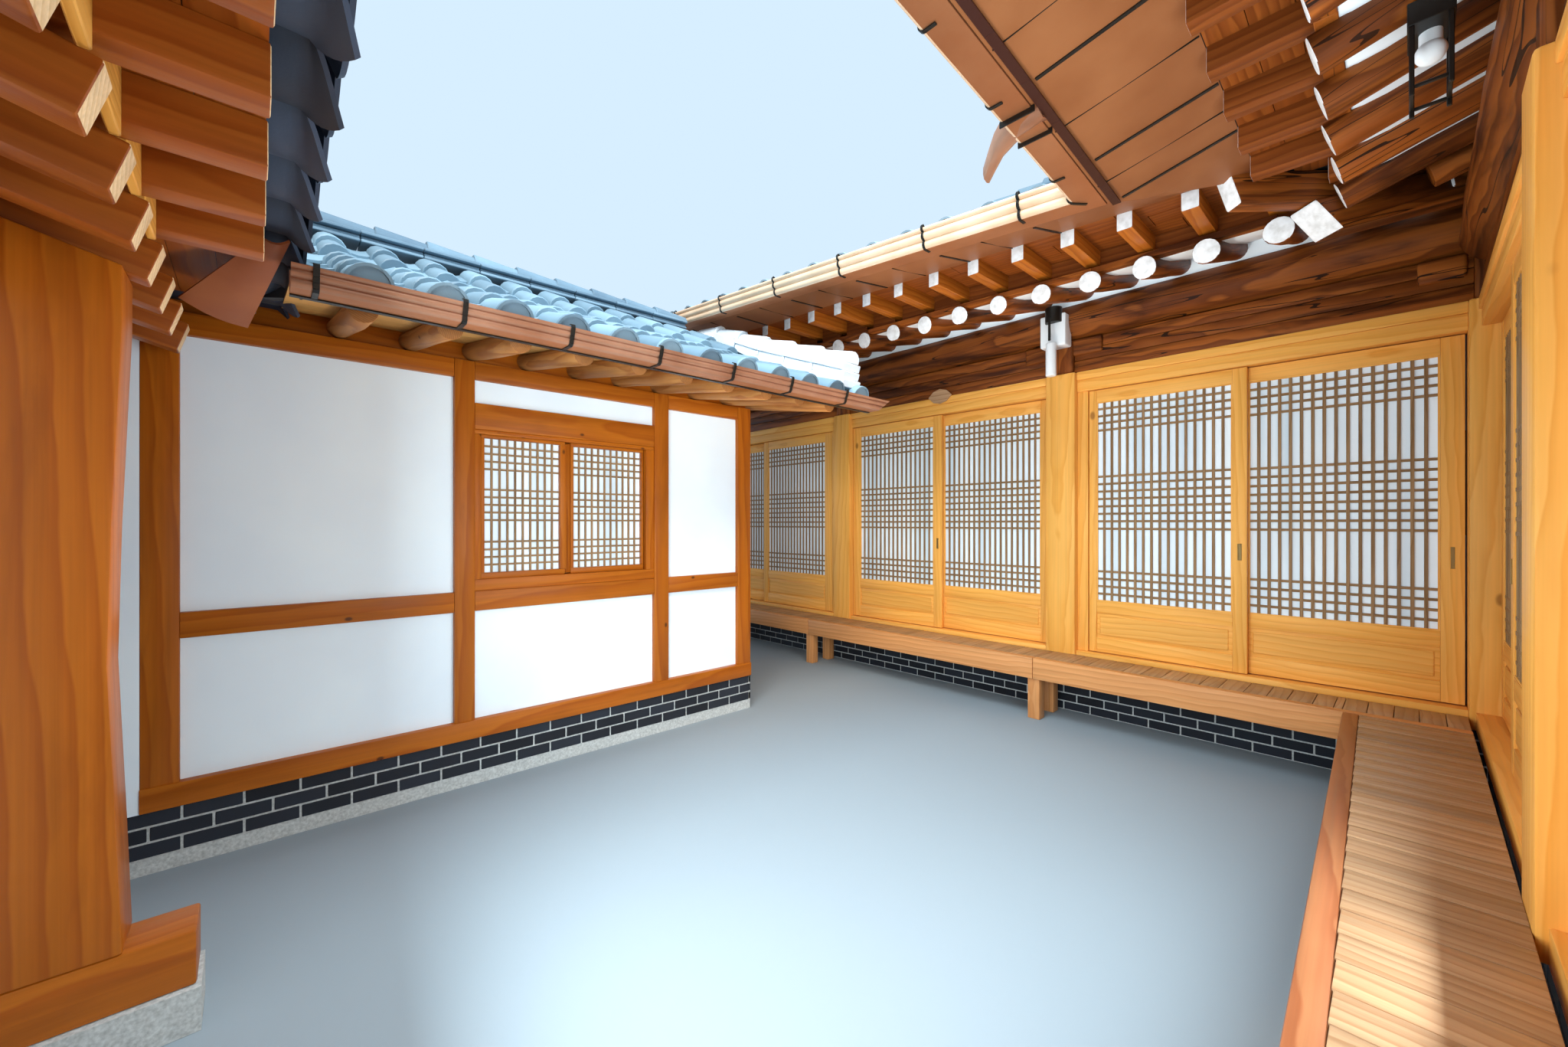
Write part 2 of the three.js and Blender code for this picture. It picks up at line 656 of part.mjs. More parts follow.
// Outer walls of the tall wings, with a plate on top that carries the rafters
function tallOuterWalls() {
  const half = outerWallThick / 2;
  const plateTop = (seat) => lowRafter.at(seat - half) - rafterHalfHigh - touch;
  const west = backColumnXs[0];
  const near = rightColumnYs[2];
  const roofUnder = (t) => lowRafter.at(t) + rafterHalfHigh;
  const gable = (front, rear, mid, foot) => [[front, foot], [rear, foot], [rear, roofUnder(roofHalf - (rear - mid))],
    [mid, roofUnder(roofHalf)], [front, roofUnder(roofHalf - (mid - front))]];
  const cornerX = outerLineX - 530;
  const lap = 10;
  const [backFront, rightFront] = [backColumnY + columnSize / 2, rightColumnX + columnSize / 2];
  let back = joined([
    prism([[west - half, backFront], [west + half, backFront], [west + half, rearLineY - half],
      [outerLineX + half, rearLineY - half], [outerLineX + half, rearLineY + half], [west - half, rearLineY + half]],
    baseTop, cornerPlateTop),
    box(west - half + 1, cornerX, rearLineY - half + 1, rearLineY + half - 1, cornerPlateTop - lap, plateTop(backSeat)),
    prismX(gable(backFront + 1, rearLineY, ridgeY, cornerPlateTop - lap), west - half + 2, west + half - 1),
  ]);
  const rightPlate = plateTop(rightSeat);
  const right = joined([
    prism([[rightFront, near - half], [outerLineX + half, near - half], [outerLineX + half, rearLineY - half - touch],
      [outerLineX - half, rearLineY - half - touch], [outerLineX - half, near + half], [rightFront, near + half]],
    baseTop, rightPlate),
    prismY(gable(rightFront + 1, outerLineX, ridgeX, rightPlate - lap), near - half + 2, near + half - 1),
  ]);
  for (const x of rearWindowXs) {
    back = back.subtract(box(x, x + outerWindowWide, rearLineY - 100, rearLineY + 100, ...outerWindowZ));
    place(`rear_window_${rearWindowXs.indexOf(x) + 1}`, 'oldPine',
      windowUnit(x, x + outerWindowWide, rearLineY, ...outerWindowZ));
  }
  const backNotch = box(west - half - 1, west + half + 1, backColumnY, backColumnY + purlinRadius + touch,
    purlinBottom - touch, purlinZ + purlinRadius + touch);
  const rightNotch = box(rightColumnX, rightColumnX + purlinRadius + touch, near - half - 1, near + half + 1,
    rightPurlinZ - purlinRadius - touch, rightPurlinZ + purlinRadius + touch);
  place('back_outer_wall', 'plaster', back.subtract(backNotch));
  place('right_outer_wall', 'plaster', right.subtract(rightNotch));
}

function tallBases() {
  const west = backColumnXs[0] - columnSize / 2;
  const east = outerLineX + outerWallThick / 2;
  const rear = rearLineY + outerWallThick / 2;
  const near = rightColumnYs[2] - columnSize / 2;
  const half = outerWallThick / 2;
  const split = backDoorY + 10;
  const rightFront = rightDoorX + 10;
  place('back_base', 'brick', joined([
    box(west, east, split, rear, 0, baseTop),
    box(west + columnSize, outerLineX - half, backColumnY + columnSize / 2, rearLineY - half, baseTop, floorTop),
  ]));
  place('right_base', 'brick', joined([
    box(rightFront, east, near, split, 0, baseTop),
    box(rightColumnX + columnSize / 2, outerLineX - half, near + columnSize, split, baseTop, floorTop),
  ]));
}

function porches() {
  const boardsUnder = porchTop - porchBoard;
  const backRear = backColumnY - columnSize / 2 - touch;
  const rightRear = rightColumnX - columnSize / 2 - touch;
  const west = porchWest;
  const near = nearFaceY + nearWallHalf + touch;
  const far = porchFrontY - touch;
  const postInset = 20;
  const back = [
    box(west, rightRear, porchFrontY, porchFrontY + 60, porchTop - porchBeamHigh, porchTop),
    box(west, rightRear, porchFrontY + 59, backRear, boardsUnder, porchTop),
    box(west, rightRear, backRear - 60, backRear, boardsUnder - 60, boardsUnder + 1),
  ];
  for (const x of backPostXs) {
    for (const y of [porchFrontY + postInset, backRear - porchPost]) {
      back.push(box(x - porchPost / 2, x + porchPost / 2, y, y + porchPost, 0, boardsUnder + 1));
    }
  }
  place('back_porch', 'porchPine', joined(back));
  const front = (y) => porchFrontFar + (porchFrontNear - porchFrontFar) * (porchFrontY - y) / (porchFrontY - near);
  const edge = (y, inset) => [front(y) + inset, y];
  const right = [
    prism([edge(near, 0), edge(near, porchEdgeWide), edge(far, porchEdgeWide), edge(far, 0)],
      porchTop - porchBeamHigh, porchTop),
    prism([edge(near, porchEdgeWide - 1), [rightRear, near], [rightRear, far], edge(far, porchEdgeWide - 1)],
      boardsUnder, porchTop),
    box(rightRear - 60, rightRear, near, far, boardsUnder - 60, boardsUnder + 1),
  ];
  for (const y of [near + 150, 2200, porchFrontY - 60]) {
    for (const x of [front(y) + postInset, rightRear - porchPost]) {
      right.push(box(x, x + porchPost, y - porchPost / 2, y + porchPost / 2, 0, boardsUnder + 1));
    }
  }
  place('right_porch', 'porchPine', joined(right));
}

// Left wing

const leftHyp = Math.hypot(1, leftGrade);
const leftPlateTop = leftEaveUnder + leftGrade * (leftEaveX - leftFaceX) - 2 * leftRafterRadius * leftHyp - 2 * touch;
const leftHalf = leftEaveX - leftRidgeX;

function leftWing() {
  const back = leftFaceX - leftPost;
  const rearX = leftFaceX - leftDeep;
  const near = leftPostYs[0][0];
  const far = leftPostYs[3][1];
  const side = leftNearY;
  const panel = [back + 35, back + 80];
  const [windowLow, windowHigh] = [leftPostYs[1][1], leftPostYs[2][0]];
  const bay = (z0, z1) => box(panel[0], panel[1], near + 90, far - 90, z0, z1);
  const windowHole = box(panel[0] - 1, panel[1] + 1, windowLow, windowHigh, leftRail[1], leftWindowTop);
  place('left_base', 'brick', joined([
    box(rearX, leftFaceX - 10, side, far, 0, leftSill[0]),
    box(rearX + leftPost, back, side + leftPost, far - leftPost, leftSill[0], leftSill[1]),
  ]));
  const infill = bay(leftSill[1], leftPlate[0]).subtract(windowHole);
  const frame = joined([
    ...leftPostYs.map(([y0, y1]) => box(back, leftFaceX, y0, y1, leftSill[0], leftPlateTop)),
    box(back + 2, leftFaceX + 8, near + 1, far - 1, leftSill[0] + 1, leftSill[1]),
    box(back + 2, leftFaceX - 3, near + 1, far - 1, ...leftRail),
    box(back + 2, leftFaceX - 3, windowLow - 1, windowHigh + 1, leftWindowTop, leftWindowTop + leftLintelHigh),
    box(back + 2, leftFaceX - 3, near + 1, far - 1, leftPlate[0], leftPlateTop - 1),
  ]).subtract(infill);
  place('left_front_frame', 'oiledPine', frame);
  place('left_front_infill', 'plaster', infill);
  const glass = box(back + 52, back + 58, windowLow + 40, windowHigh - 40, leftRail[1] + 60, leftWindowTop - 20);
  let sashes = box(back + 15, leftFaceX - 10, windowLow, windowHigh, leftRail[1], leftWindowTop);
  for (const [y0, y1] of leftSashes) {
    sashes = sashes.subtract(box(back, leftFaceX, y0, y1, ...leftSashZ));
  }
  place('left_window', 'oiledPine', sashes.subtract(glass));
  place('left_window_glass', 'glass', glass);
  const wall = leftPost;
  const lowTop = nearPlate[1];
  const lap = 10;
  const boardZ = leftRafterAxis(leftHalf - 55);
  const gable = prismY([
    [rearX + 2, lowTop - lap], [back - touch, lowTop - lap], [back - touch, leftUnderAt(back) - 2],
    [leftRidgeX, leftUnderAt(leftRidgeX) - 2], [rearX + 2, leftUnderAt(rearX + 2) - 2],
  ], far - wall + 1, far - 1);
  place('left_outer_wall', 'plaster', joined([
    prism([[leftFaceX, near - touch], [leftFaceX, side], [rearX, side], [rearX, far], [back - touch, far],
      [back - touch, far - wall], [rearX + wall, far - wall], [rearX + wall, side + wall], [back, side + wall],
      [back, near - touch]], leftSill[0], lowTop),
    box(rearX + 1, rearX + wall - 1, near, far - 2, lowTop - lap, leftPlateTop),
    gable,
  ]).subtract(box(leftRidgeX - 80, leftRidgeX + 80, far - wall - 1, far + 1, boardZ - 60, boardZ + 200))
    .subtract(box(back - 50, leftFaceX + 50, ...passageDoorY, leftSill[1], passageDoorTop)));
}

function leftUnderAt(x) {
  const rear = 2 * leftRidgeX - leftEaveX;
  const t = x > leftRidgeX ? leftEaveX - x : x - rear;
  return leftEaveUnder + leftGrade * t;
}

function leftRafterAxis(t) {
  return leftEaveUnder + leftGrade * t - leftRafterRadius * leftHyp - touch;
}

function leftRoof(nearCut) {
  const half = leftHalf;
  const eaveTop = leftEaveUnder + leftTile;
  const crown = [[0, eaveTop], [half / 2, eaveTop + (leftRidgeTop - eaveTop) * leftRoofSag],
    [half - leftRidgeHalf, leftRidgeTop]];
  const turns = { left_front: (t) => leftEaveX - t, left_rear: (t) => 2 * leftRidgeX - leftEaveX + t };
  const section = (turn) => [[0, leftEaveUnder], ...crown, [half, leftRidgeTop],
    [half, leftEaveUnder + leftGrade * half]].map(([t, z]) => [turn(t), z]);
  const front = prismY(section(turns.left_front), nearRidgeY, leftRoofFar).subtract(nearCut);
  const rear = prismY(section(turns.left_rear), nearRidgeY, leftRoofFar).subtract(nearCut);
  place('left_front_roof', 'greyTile', front);
  place('left_rear_roof', 'greyTile', rear);
  const ridgePart = (near, far, high) => box(leftRidgeX - leftRidgeHalf, leftRidgeX + leftRidgeHalf, near, far,
    leftRidgeTop + touch, leftRidgeTop + high);
  const ridge = ridgePart(nearRidgeY + 200, leftRidgeFar, leftRidgeHigh).subtract(nearCut)
    .add(ridgePart(leftRidgeFar - 10, leftVergeY[0] + 10, leftVergeHigh[2]));
  const over = (lifts) => Object.values(turns).map((turn) => crown.map(([t, z], k) => [turn(t), z + lifts[k]]));
  const [lowFront, lowRear] = over([touch, touch, touch]);
  const [highFront, highRear] = over(leftVergeHigh);
  const verge = [...lowFront, ...lowRear.reverse(), ...highRear, ...highFront.reverse()];
  place('left_ridge', 'greyTile', ridge.add(prismY(verge, ...leftVergeY)));
  for (const [name, turn] of Object.entries(turns)) {
    const pieces = [];
    const axis = leftRafterAxis;
    const upper = half - 40;
    for (let y = leftRafterFirst; y < leftRoofFar - rafterTopClear; y += leftRafterPitch) {
      pieces.push(log([turn(leftTip), y, axis(leftTip)], [turn(upper), y, axis(upper)], leftRafterRadius, 6));
    }
    pieces.push(stick([turn(upper - 15), leftRafterFirst - 60, axis(upper)],
      [turn(upper - 15), leftRoofFar - rafterTopClear, axis(upper)], upperBoardThick, 90));
    place(`${name}_rafters`, 'oiledPine', joined(pieces));
  }
  place('left_gutter', 'copper', channel((part, out, up) => [
    leftEaveX + touch + out, nearEaveEdge + touch + part * (leftRoofFar + 60 - nearEaveEdge), leftGutter.under + up,
  ], leftGutter.deep, leftGutter.high, leftGutter.back, leftGutter.flare));
}

// Near wing

function nearWing() {
  const wallFront = nearFaceY + nearWallHalf;
  const rearLine = 2 * nearRidgeY - nearFaceY;
  const baseRear = rearLine - 100;
  place('near_base', 'brick', joined([
    box(nearPostWest, nearEast, baseRear, wallFront + 20, 0, nearBaseTop),
    box(nearPostWest, nearPostEast + 20, wallFront + 19, nearSillEnd + 10, 0, nearBaseTop),
  ]));
  place('near_sill', 'oiledPine',
    box(nearPostWest, nearPostEast, baseRear, nearSillEnd, nearBaseTop + touch, nearSillTop));
  const back = wallFront + touch;
  const front = nearPostFront;
  const rafterUnder = (y) => nearRafterAxis(nearEaveEdge - y) - nearRafterHigh / 2 * nearHyp - touch;
  place('near_post', 'oiledPine', prismX([
    [back, nearSillTop + touch], [front, nearSillTop + touch], [front - 10, 600], [front - 28, 1100],
    [front - 20, 1500], [front, 2070], [front, rafterUnder(front)], [back, rafterUnder(back)],
  ], nearPostWest, nearPostEast));
  const wallTop = nearPlate[0] - touch;
  const wallLow = nearPostEast + touch;
  const thick = 2 * nearWallHalf;
  place('near_wall', 'plaster', box(wallLow, nearEast, rearLine - nearWallHalf, wallFront, nearBaseTop, wallTop)
    .subtract(box(wallLow + thick, nearEast - thick, rearLine + nearWallHalf, nearFaceY - nearWallHalf,
      nearBaseTop - 1, wallTop + 1))
    .subtract(box(...nearWindowX, nearFaceY - 100, nearFaceY + 100, ...nearWindowZ))
    .subtract(box(wallLow - 50, wallLow + thick + 50, ...passageDoorY, nearBaseTop - 1, passageDoorTop)));
  place('near_window', 'oiledPine', windowUnit(...nearWindowX, nearFaceY, ...nearWindowZ));
  for (const [name, y] of [['near_front_plate', nearFaceY], ['near_rear_plate', rearLine]]) {
    place(name, 'oiledPine', box(leftFaceX + touch, nearEast, y - nearWallHalf, y + nearWallHalf, ...nearPlate));
  }
}

const nearHalf = nearEaveEdge - nearRidgeY;
const nearHyp = Math.hypot(1, nearGrade);

function nearRafterAxis(t) {
  const plateEdge = nearEaveEdge - nearFaceY - nearWallHalf;
  return nearPlate[1] + touch + nearRafterHigh / 2 * nearHyp + nearGrade * (t - plateEdge);
}

function nearSection() {
  const eaveTop = nearEaveUnder + nearTile;
  const top = (t) => eaveTop + (nearRidgeTop - eaveTop) * t / (nearHalf - nearRidgeHalf);
  const under = (t) => nearRafterAxis(t) + nearRafterHigh / 2 * nearHyp + touch;
  const flat = (nearEaveUnder - under(0)) / nearGrade;
  return [[0, nearEaveUnder], [0, top(0)], [nearHalf - nearRidgeHalf, nearRidgeTop], [nearHalf, nearRidgeTop],
    [nearHalf, under(nearHalf)], [flat, nearEaveUnder]];
}

function nearRoof() {
  const rearEave = 2 * nearRidgeY - nearEaveEdge;
  const west = 2 * leftRidgeX - leftEaveX;
  const turns = { near_front: (t) => nearEaveEdge - t, near_rear: (t) => rearEave + t };
  for (const [name, turn] of Object.entries(turns)) {
    place(`${name}_roof`, 'blackTile', prismX(nearSection().map(([t, z]) => [turn(t), z]), west, nearEast));
    const pieces = [];
    const upper = nearHalf - 40;
    for (let x = nearEast - nearRafterFirst; x > leftFaceX + 100; x -= rafterPitch) {
      pieces.push(stick([x, turn(nearTip), nearRafterAxis(nearTip)], [x, turn(upper), nearRafterAxis(upper)],
        nearRafterWide, nearRafterHigh));
      pieces.push(stick([x, turn(nearFlyingTip), nearFlyingZ], [x, turn(nearFlyingRoot), nearFlyingZ],
        nearRafterWide, nearFlyingHigh));
    }
    const board = [turn(upper), turn(upper - 30)];
    pieces.push(box(leftFaceX + 120, nearEast - 20, Math.min(...board), Math.max(...board),
      nearRafterAxis(upper) - 60, nearRafterAxis(upper) + 40));
    place(`${name}_rafters`, 'oiledPine', joined(pieces));
  }
  place('near_ridge', 'blackTile', box(west, nearEast, nearRidgeY - nearRidgeHalf, nearRidgeY + nearRidgeHalf,
    nearRidgeTop + touch, nearRidgeTop + nearRidgeHigh));
}

// Everything under the near roof's top, to trim the left roof where the two meet
function nearRoofCut() {
  return prismX([[nearEaveEdge + touch, 0], [nearEaveEdge + touch, nearEaveUnder + nearTile + touch],
    [nearRidgeY + nearRidgeHalf, nearRidgeTop + touch], [nearRidgeY - 10, nearRidgeTop + touch],
    [nearRidgeY - 10, 0]], -7000, -2000);
}

tallRoof();
place('back_gutter', 'copper', tallGutter(slopes.back_front));
place('right_gutter', 'copper', tallGutter(slopes.right_inner));
tallFrames();
tallOuterWalls();
tallBases();
porches();
doors();
leftWing();
leftRoof(nearRoofCut());
nearWing();
nearRoof();

const east = outerEaveX;
const north = rearEaveY;
const south = 2 * nearRidgeY - nearEaveEdge;
house.position.set(-(roofWest + east) / 2, -(south + north) / 2, 0);
const group = new THREE.Group();
group.add(house);
export default group;
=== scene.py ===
import json
import math
import random

import bmesh
import bpy
import numpy as np
from mathutils import Matrix, Vector, noise

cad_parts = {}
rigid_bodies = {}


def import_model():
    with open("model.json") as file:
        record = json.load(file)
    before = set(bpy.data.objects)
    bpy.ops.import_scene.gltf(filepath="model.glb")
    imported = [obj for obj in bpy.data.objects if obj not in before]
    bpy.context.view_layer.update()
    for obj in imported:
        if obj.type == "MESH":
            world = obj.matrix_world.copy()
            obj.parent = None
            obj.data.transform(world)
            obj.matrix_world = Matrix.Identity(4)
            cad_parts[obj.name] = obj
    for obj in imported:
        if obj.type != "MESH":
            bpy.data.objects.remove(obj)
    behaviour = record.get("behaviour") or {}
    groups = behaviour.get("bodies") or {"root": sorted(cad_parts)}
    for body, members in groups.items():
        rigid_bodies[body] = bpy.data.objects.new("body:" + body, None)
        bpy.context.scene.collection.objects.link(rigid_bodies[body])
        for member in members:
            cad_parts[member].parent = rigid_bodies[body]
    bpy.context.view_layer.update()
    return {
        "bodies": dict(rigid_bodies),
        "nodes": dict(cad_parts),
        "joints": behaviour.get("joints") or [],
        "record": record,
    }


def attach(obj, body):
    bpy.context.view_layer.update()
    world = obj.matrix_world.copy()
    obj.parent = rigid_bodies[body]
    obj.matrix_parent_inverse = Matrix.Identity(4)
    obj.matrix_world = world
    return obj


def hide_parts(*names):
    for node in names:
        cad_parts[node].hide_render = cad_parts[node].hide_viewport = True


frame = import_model()
bpy.ops.object.select_all(action="DESELECT")
print("frame loaded:", len(frame["nodes"]), "nodes")

# Every place below is in metres from one spot in the courtyard; survey moves it into the frame
survey = Vector((0.96, -3.02, 0.0))

# Camera at the open corner of the courtyard, level, 1.5 m above the ground
camera = {"place": (0.0, 0.0, 1.5), "turn": 47.36, "lens": 13.27, "near": 0.02, "far": 200.0}

bpy.ops.object.camera_add(location=survey + Vector(camera["place"]),
                          rotation=(math.radians(90), 0, math.radians(camera["turn"])))
eye = bpy.context.object
eye.data.lens = camera["lens"]
eye.data.clip_start = camera["near"]
eye.data.clip_end = camera["far"]
bpy.context.scene.camera = eye
bpy.context.scene.view_settings.view_transform = "Standard"


def linear(code, alpha=1.0):  # sRGB hex to linear
    parts = [int(code[k:k + 2], 16) / 255 for k in (1, 3, 5)]
    return tuple(c / 12.92 if c <= 0.04045 else ((c + 0.055) / 1.055) ** 2.4 for c in parts) + (alpha,)


def addNode(tree, kind, settings=None, inputs=None):
    node = tree.nodes.new("ShaderNode" + kind)
    for name, value in (settings or {}).items():
        setattr(node, name, value)
    for name, value in (inputs or {}).items():
        if isinstance(value, bpy.types.NodeSocket):
            tree.links.new(value, node.inputs[name])
        else:
            node.inputs[name].default_value = value
    return node


def startMaterial(name):
    material = bpy.data.materials.new(name)
    material.use_nodes = True
    material.node_tree.nodes.clear()
    return material, material.node_tree


def endMaterial(tree, looks):
    surface = addNode(tree, "BsdfPrincipled", None, looks)
    addNode(tree, "OutputMaterial", None, {"Surface": surface.outputs[0]})


# Floor, even sky, a wide soft sun, soft discs over and across the courtyard, two spots that light the eaves
studio = {
    "floor": "#99A2A8", "floorSize": 90.0, "floorRough": 0.9, "sky": "#CFE5F7", "skyPower": 1.1,
    "sunWay": (-0.56, 0.54, -0.7), "sunPower": 3.4, "sunSoft": 30.0, "sunColour": "#FFF6E8",
    "discColour": "#DFF4FF", "spotColour": "#FFF8EF", "spotBlend": 0.6,
    "discs": [  # place, way, power, size
        ((-1.8, 1.4, 5.4), (-0.36, 0.62, -1.0), 270.0, 2.6), ((0.1, 1.9, 1.5), (-1.0, 0.0, 0.05), 74.0, 2.0),
        ((-1.6, 0.3, 1.4), (0.1, 1.0, 0.0), 84.0, 2.0)],
    "spots": [  # place, way, power, cone, softness
        ((-2.2, 3.0, 0.05), (0.15, -0.05, 1.0), 400.0, 100.0, 0.6),
        ((-2.9, 1.3, 0.05), (1.0, -1.5, 2.35), 230.0, 75.0, 0.4)],
}


def addLamp(kind, place, way, power, colour):
    bpy.ops.object.light_add(type=kind, location=survey + Vector(place),
                             rotation=Vector(way).to_track_quat("-Z", "Y").to_euler())
    lamp = bpy.context.object
    lamp.data.energy = power
    lamp.data.color = linear(colour)[:3]
    if kind != "SUN":
        lamp.visible_camera = False
        lamp.visible_glossy = False
    return lamp.data


def buildStudio():
    bpy.ops.mesh.primitive_grid_add(x_subdivisions=2, y_subdivisions=2, size=studio["floorSize"],
                                    location=(0, 0, -0.001))
    floor = bpy.context.object
    floor.name = "studio_floor"
    material, tree = startMaterial("paleStudioFloor")  # matt painted floor, without any pattern
    endMaterial(tree, {"Base Color": linear(studio["floor"]), "Roughness": studio["floorRough"]})
    floor.data.materials.append(material)
    world = bpy.data.worlds.new("softSky")
    bpy.context.scene.world = world
    world.use_nodes = True
    back = world.node_tree.nodes["Background"]
    back.inputs["Color"].default_value = linear(studio["sky"])
    back.inputs["Strength"].default_value = studio["skyPower"]
    sun = addLamp("SUN", (0, 0, 0), studio["sunWay"], studio["sunPower"], studio["sunColour"])
    sun.angle = math.radians(studio["sunSoft"])
    for place, way, power, size in studio["discs"]:
        disc = addLamp("AREA", place, way, power, studio["discColour"])
        disc.shape = "DISK"
        disc.size = size
    for place, way, power, cone, soft in studio["spots"]:
        spot = addLamp("SPOT", place, way, power, studio["spotColour"])
        spot.spot_size = math.radians(cone)
        spot.spot_blend = studio["spotBlend"]
        spot.shadow_soft_size = soft


buildStudio()
print("camera and studio ready")

# One seed for all chance: without one, the round timbers' bends would change with each run
rng = random.Random(41)
noise.seed_set(41)


def startPiece(name):
    bpy.ops.object.select_all(action="DESELECT")
    bpy.ops.object.add(type="MESH")
    bpy.context.object.name = name
    bpy.ops.object.mode_set(mode="EDIT")


def addBoard(low, high):  # a square timber between two corners
    low, high = Vector(low), Vector(high)
    bpy.ops.mesh.primitive_cube_add(size=1, location=survey + (low + high) / 2, scale=high - low)


def addStick(start, stop, wide, high):  # a square timber between two points, its sides upright
    start, stop = Vector(start), Vector(stop)
    along = stop - start
    turn = (0, -math.atan2(along.z, math.hypot(along.x, along.y)), math.atan2(along.y, along.x))
    bpy.ops.mesh.primitive_cube_add(size=1, location=survey + (start + stop) / 2, rotation=turn,
                                    scale=(along.length, wide, high))


def addPath(points, wide, thick):  # a flat bar bent along a row of points
    for a, b in zip(points, points[1:]):
        addStick(a, b, wide, thick)


def addLog(start, stop, radius, sides=18):
    start, stop = Vector(start), Vector(stop)
    along = stop - start
    bpy.ops.mesh.primitive_cylinder_add(vertices=sides, radius=radius, depth=along.length,
                                        location=survey + (start + stop) / 2,
                                        rotation=along.to_track_quat("Z", "Y").to_euler())


def roundEdges(width, facets=2, sharp=50):
    bpy.ops.mesh.select_mode(type="EDGE")
    bpy.ops.mesh.select_all(action="DESELECT")
    bpy.ops.mesh.edges_select_sharp(sharpness=math.radians(sharp))
    bpy.ops.mesh.bevel(offset=width, segments=facets, affect="EDGES")


def endPiece(materials, slot, body="house", stands=(), edge=None, facets=2, sharp=50, grain=True, smooth=38,
             ends=None, least=0.8):
    # edge rounds the sharp edges; the faces that look towards ends get the second material
    piece = bpy.context.object
    if edge:
        roundEdges(edge, facets, sharp)
    if piece.mode == "EDIT":
        bpy.ops.object.mode_set(mode="OBJECT")
    for material in materials:
        piece.data.materials.append(material)
    bpy.ops.object.shade_smooth_by_angle(angle=math.radians(smooth))
    if grain:
        layGrain(piece)
    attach(piece, body)
    if stands:
        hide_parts(*stands)
    if ends:
        for face in piece.data.polygons:
            if face.normal.dot(Vector(ends)) > least:
                face.material_index = 1


def pointsOf(piece):
    flat = np.empty(len(piece.data.vertices) * 3, dtype=np.float32)
    piece.data.vertices.foreach_get("co", flat)
    return flat.reshape(-1, 3).astype(np.float64)


def movePoints(piece, points):
    piece.data.vertices.foreach_set("co", points.astype(np.float32).ravel())
    piece.data.update()


def looseParts(piece):  # number of the loose part that each vertex belongs to
    edges = np.empty(len(piece.data.edges) * 2, dtype=np.int32)
    piece.data.edges.foreach_get("vertices", edges)
    a, b = edges.reshape(-1, 2).T
    label = np.arange(len(piece.data.vertices))
    while True:
        low = np.minimum(label[a], label[b])
        before = label.copy()
        np.minimum.at(label, a, low)
        np.minimum.at(label, b, low)
        label = label[label]
        if (label == before).all():
            return np.unique(label, return_inverse=True)[1]


def layGrain(piece):
    # Every timber, brick or tile gets its own grain direction, its own cut from the log, and its own tone
    points = pointsOf(piece)
    part = looseParts(piece)
    count = part.max() + 1
    weight = np.bincount(part, minlength=count)[:, None]
    centre = np.stack([np.bincount(part, points[:, k], count) for k in range(3)], 1) / weight
    arm = points - centre[part]
    spread = np.zeros((count, 3, 3))
    np.add.at(spread, part, arm[:, :, None] * arm[:, None, :])
    axes = np.linalg.eigh(spread)[1][:, :, ::-1]
    local = np.einsum("nk,nkj->nj", arm, axes[part])
    chance = np.random.default_rng(len(points) + count)
    cut = np.stack([chance.uniform(-far, far, count) for far in (40, 0.09, 0.09)], 1)
    grain = piece.data.attributes.new("grain", "FLOAT_VECTOR", "POINT")
    grain.data.foreach_set("vector", (local + cut[part]).astype(np.float32).ravel())
    tone = piece.data.attributes.new("tone", "FLOAT", "POINT")
    tone.data.foreach_set("value", chance.uniform(0, 1, count)[part].astype(np.float32))


def noiseNode(tree, place, scale, detail, **more):
    cloud = addNode(tree, "TexNoise", None, {"Vector": place, "Scale": scale, "Detail": detail, **more})
    return cloud.outputs["Fac"]


def rampNode(tree, amount, stops):
    ramp = addNode(tree, "ValToRGB", None, {"Fac": amount})
    marks = ramp.color_ramp.elements
    while len(marks) < len(stops):
        marks.new(0.5)
    for mark, (place, code) in zip(marks, stops):
        mark.position = place
        mark.color = linear(code)
    return ramp.outputs["Color"]


def rangeNode(tree, value, low, high, start=0.0, stop=1.0, kind="LINEAR"):
    return addNode(tree, "MapRange", {"interpolation_type": kind}, {
        "Value": value, "From Min": start, "From Max": stop, "To Min": low, "To Max": high}).outputs[0]


def mathNode(tree, operation, *values):
    return addNode(tree, "Math", {"operation": operation}, dict(enumerate(values))).outputs[0]


def mixNode(tree, amount, base, over):
    return addNode(tree, "Mix", {"data_type": "RGBA"}, {"Factor": amount, 6: base, 7: over}).outputs[2]


def bumpNode(tree, height, strength, distance=0.001):
    return addNode(tree, "Bump", None, {
        "Height": height, "Strength": strength, "Distance": distance}).outputs["Normal"]


def mapNode(tree, place, scale, **more):
    return addNode(tree, "Mapping", None, {"Vector": place, "Scale": scale, **more}).outputs["Vector"]


def toneOf(tree):  # the tone that layGrain gives each loose part, from 0 to 1
    return addNode(tree, "Attribute", {"attribute_name": "tone"}).outputs["Fac"]


def objectPlace(tree):
    return addNode(tree, "TexCoord").outputs["Object"]


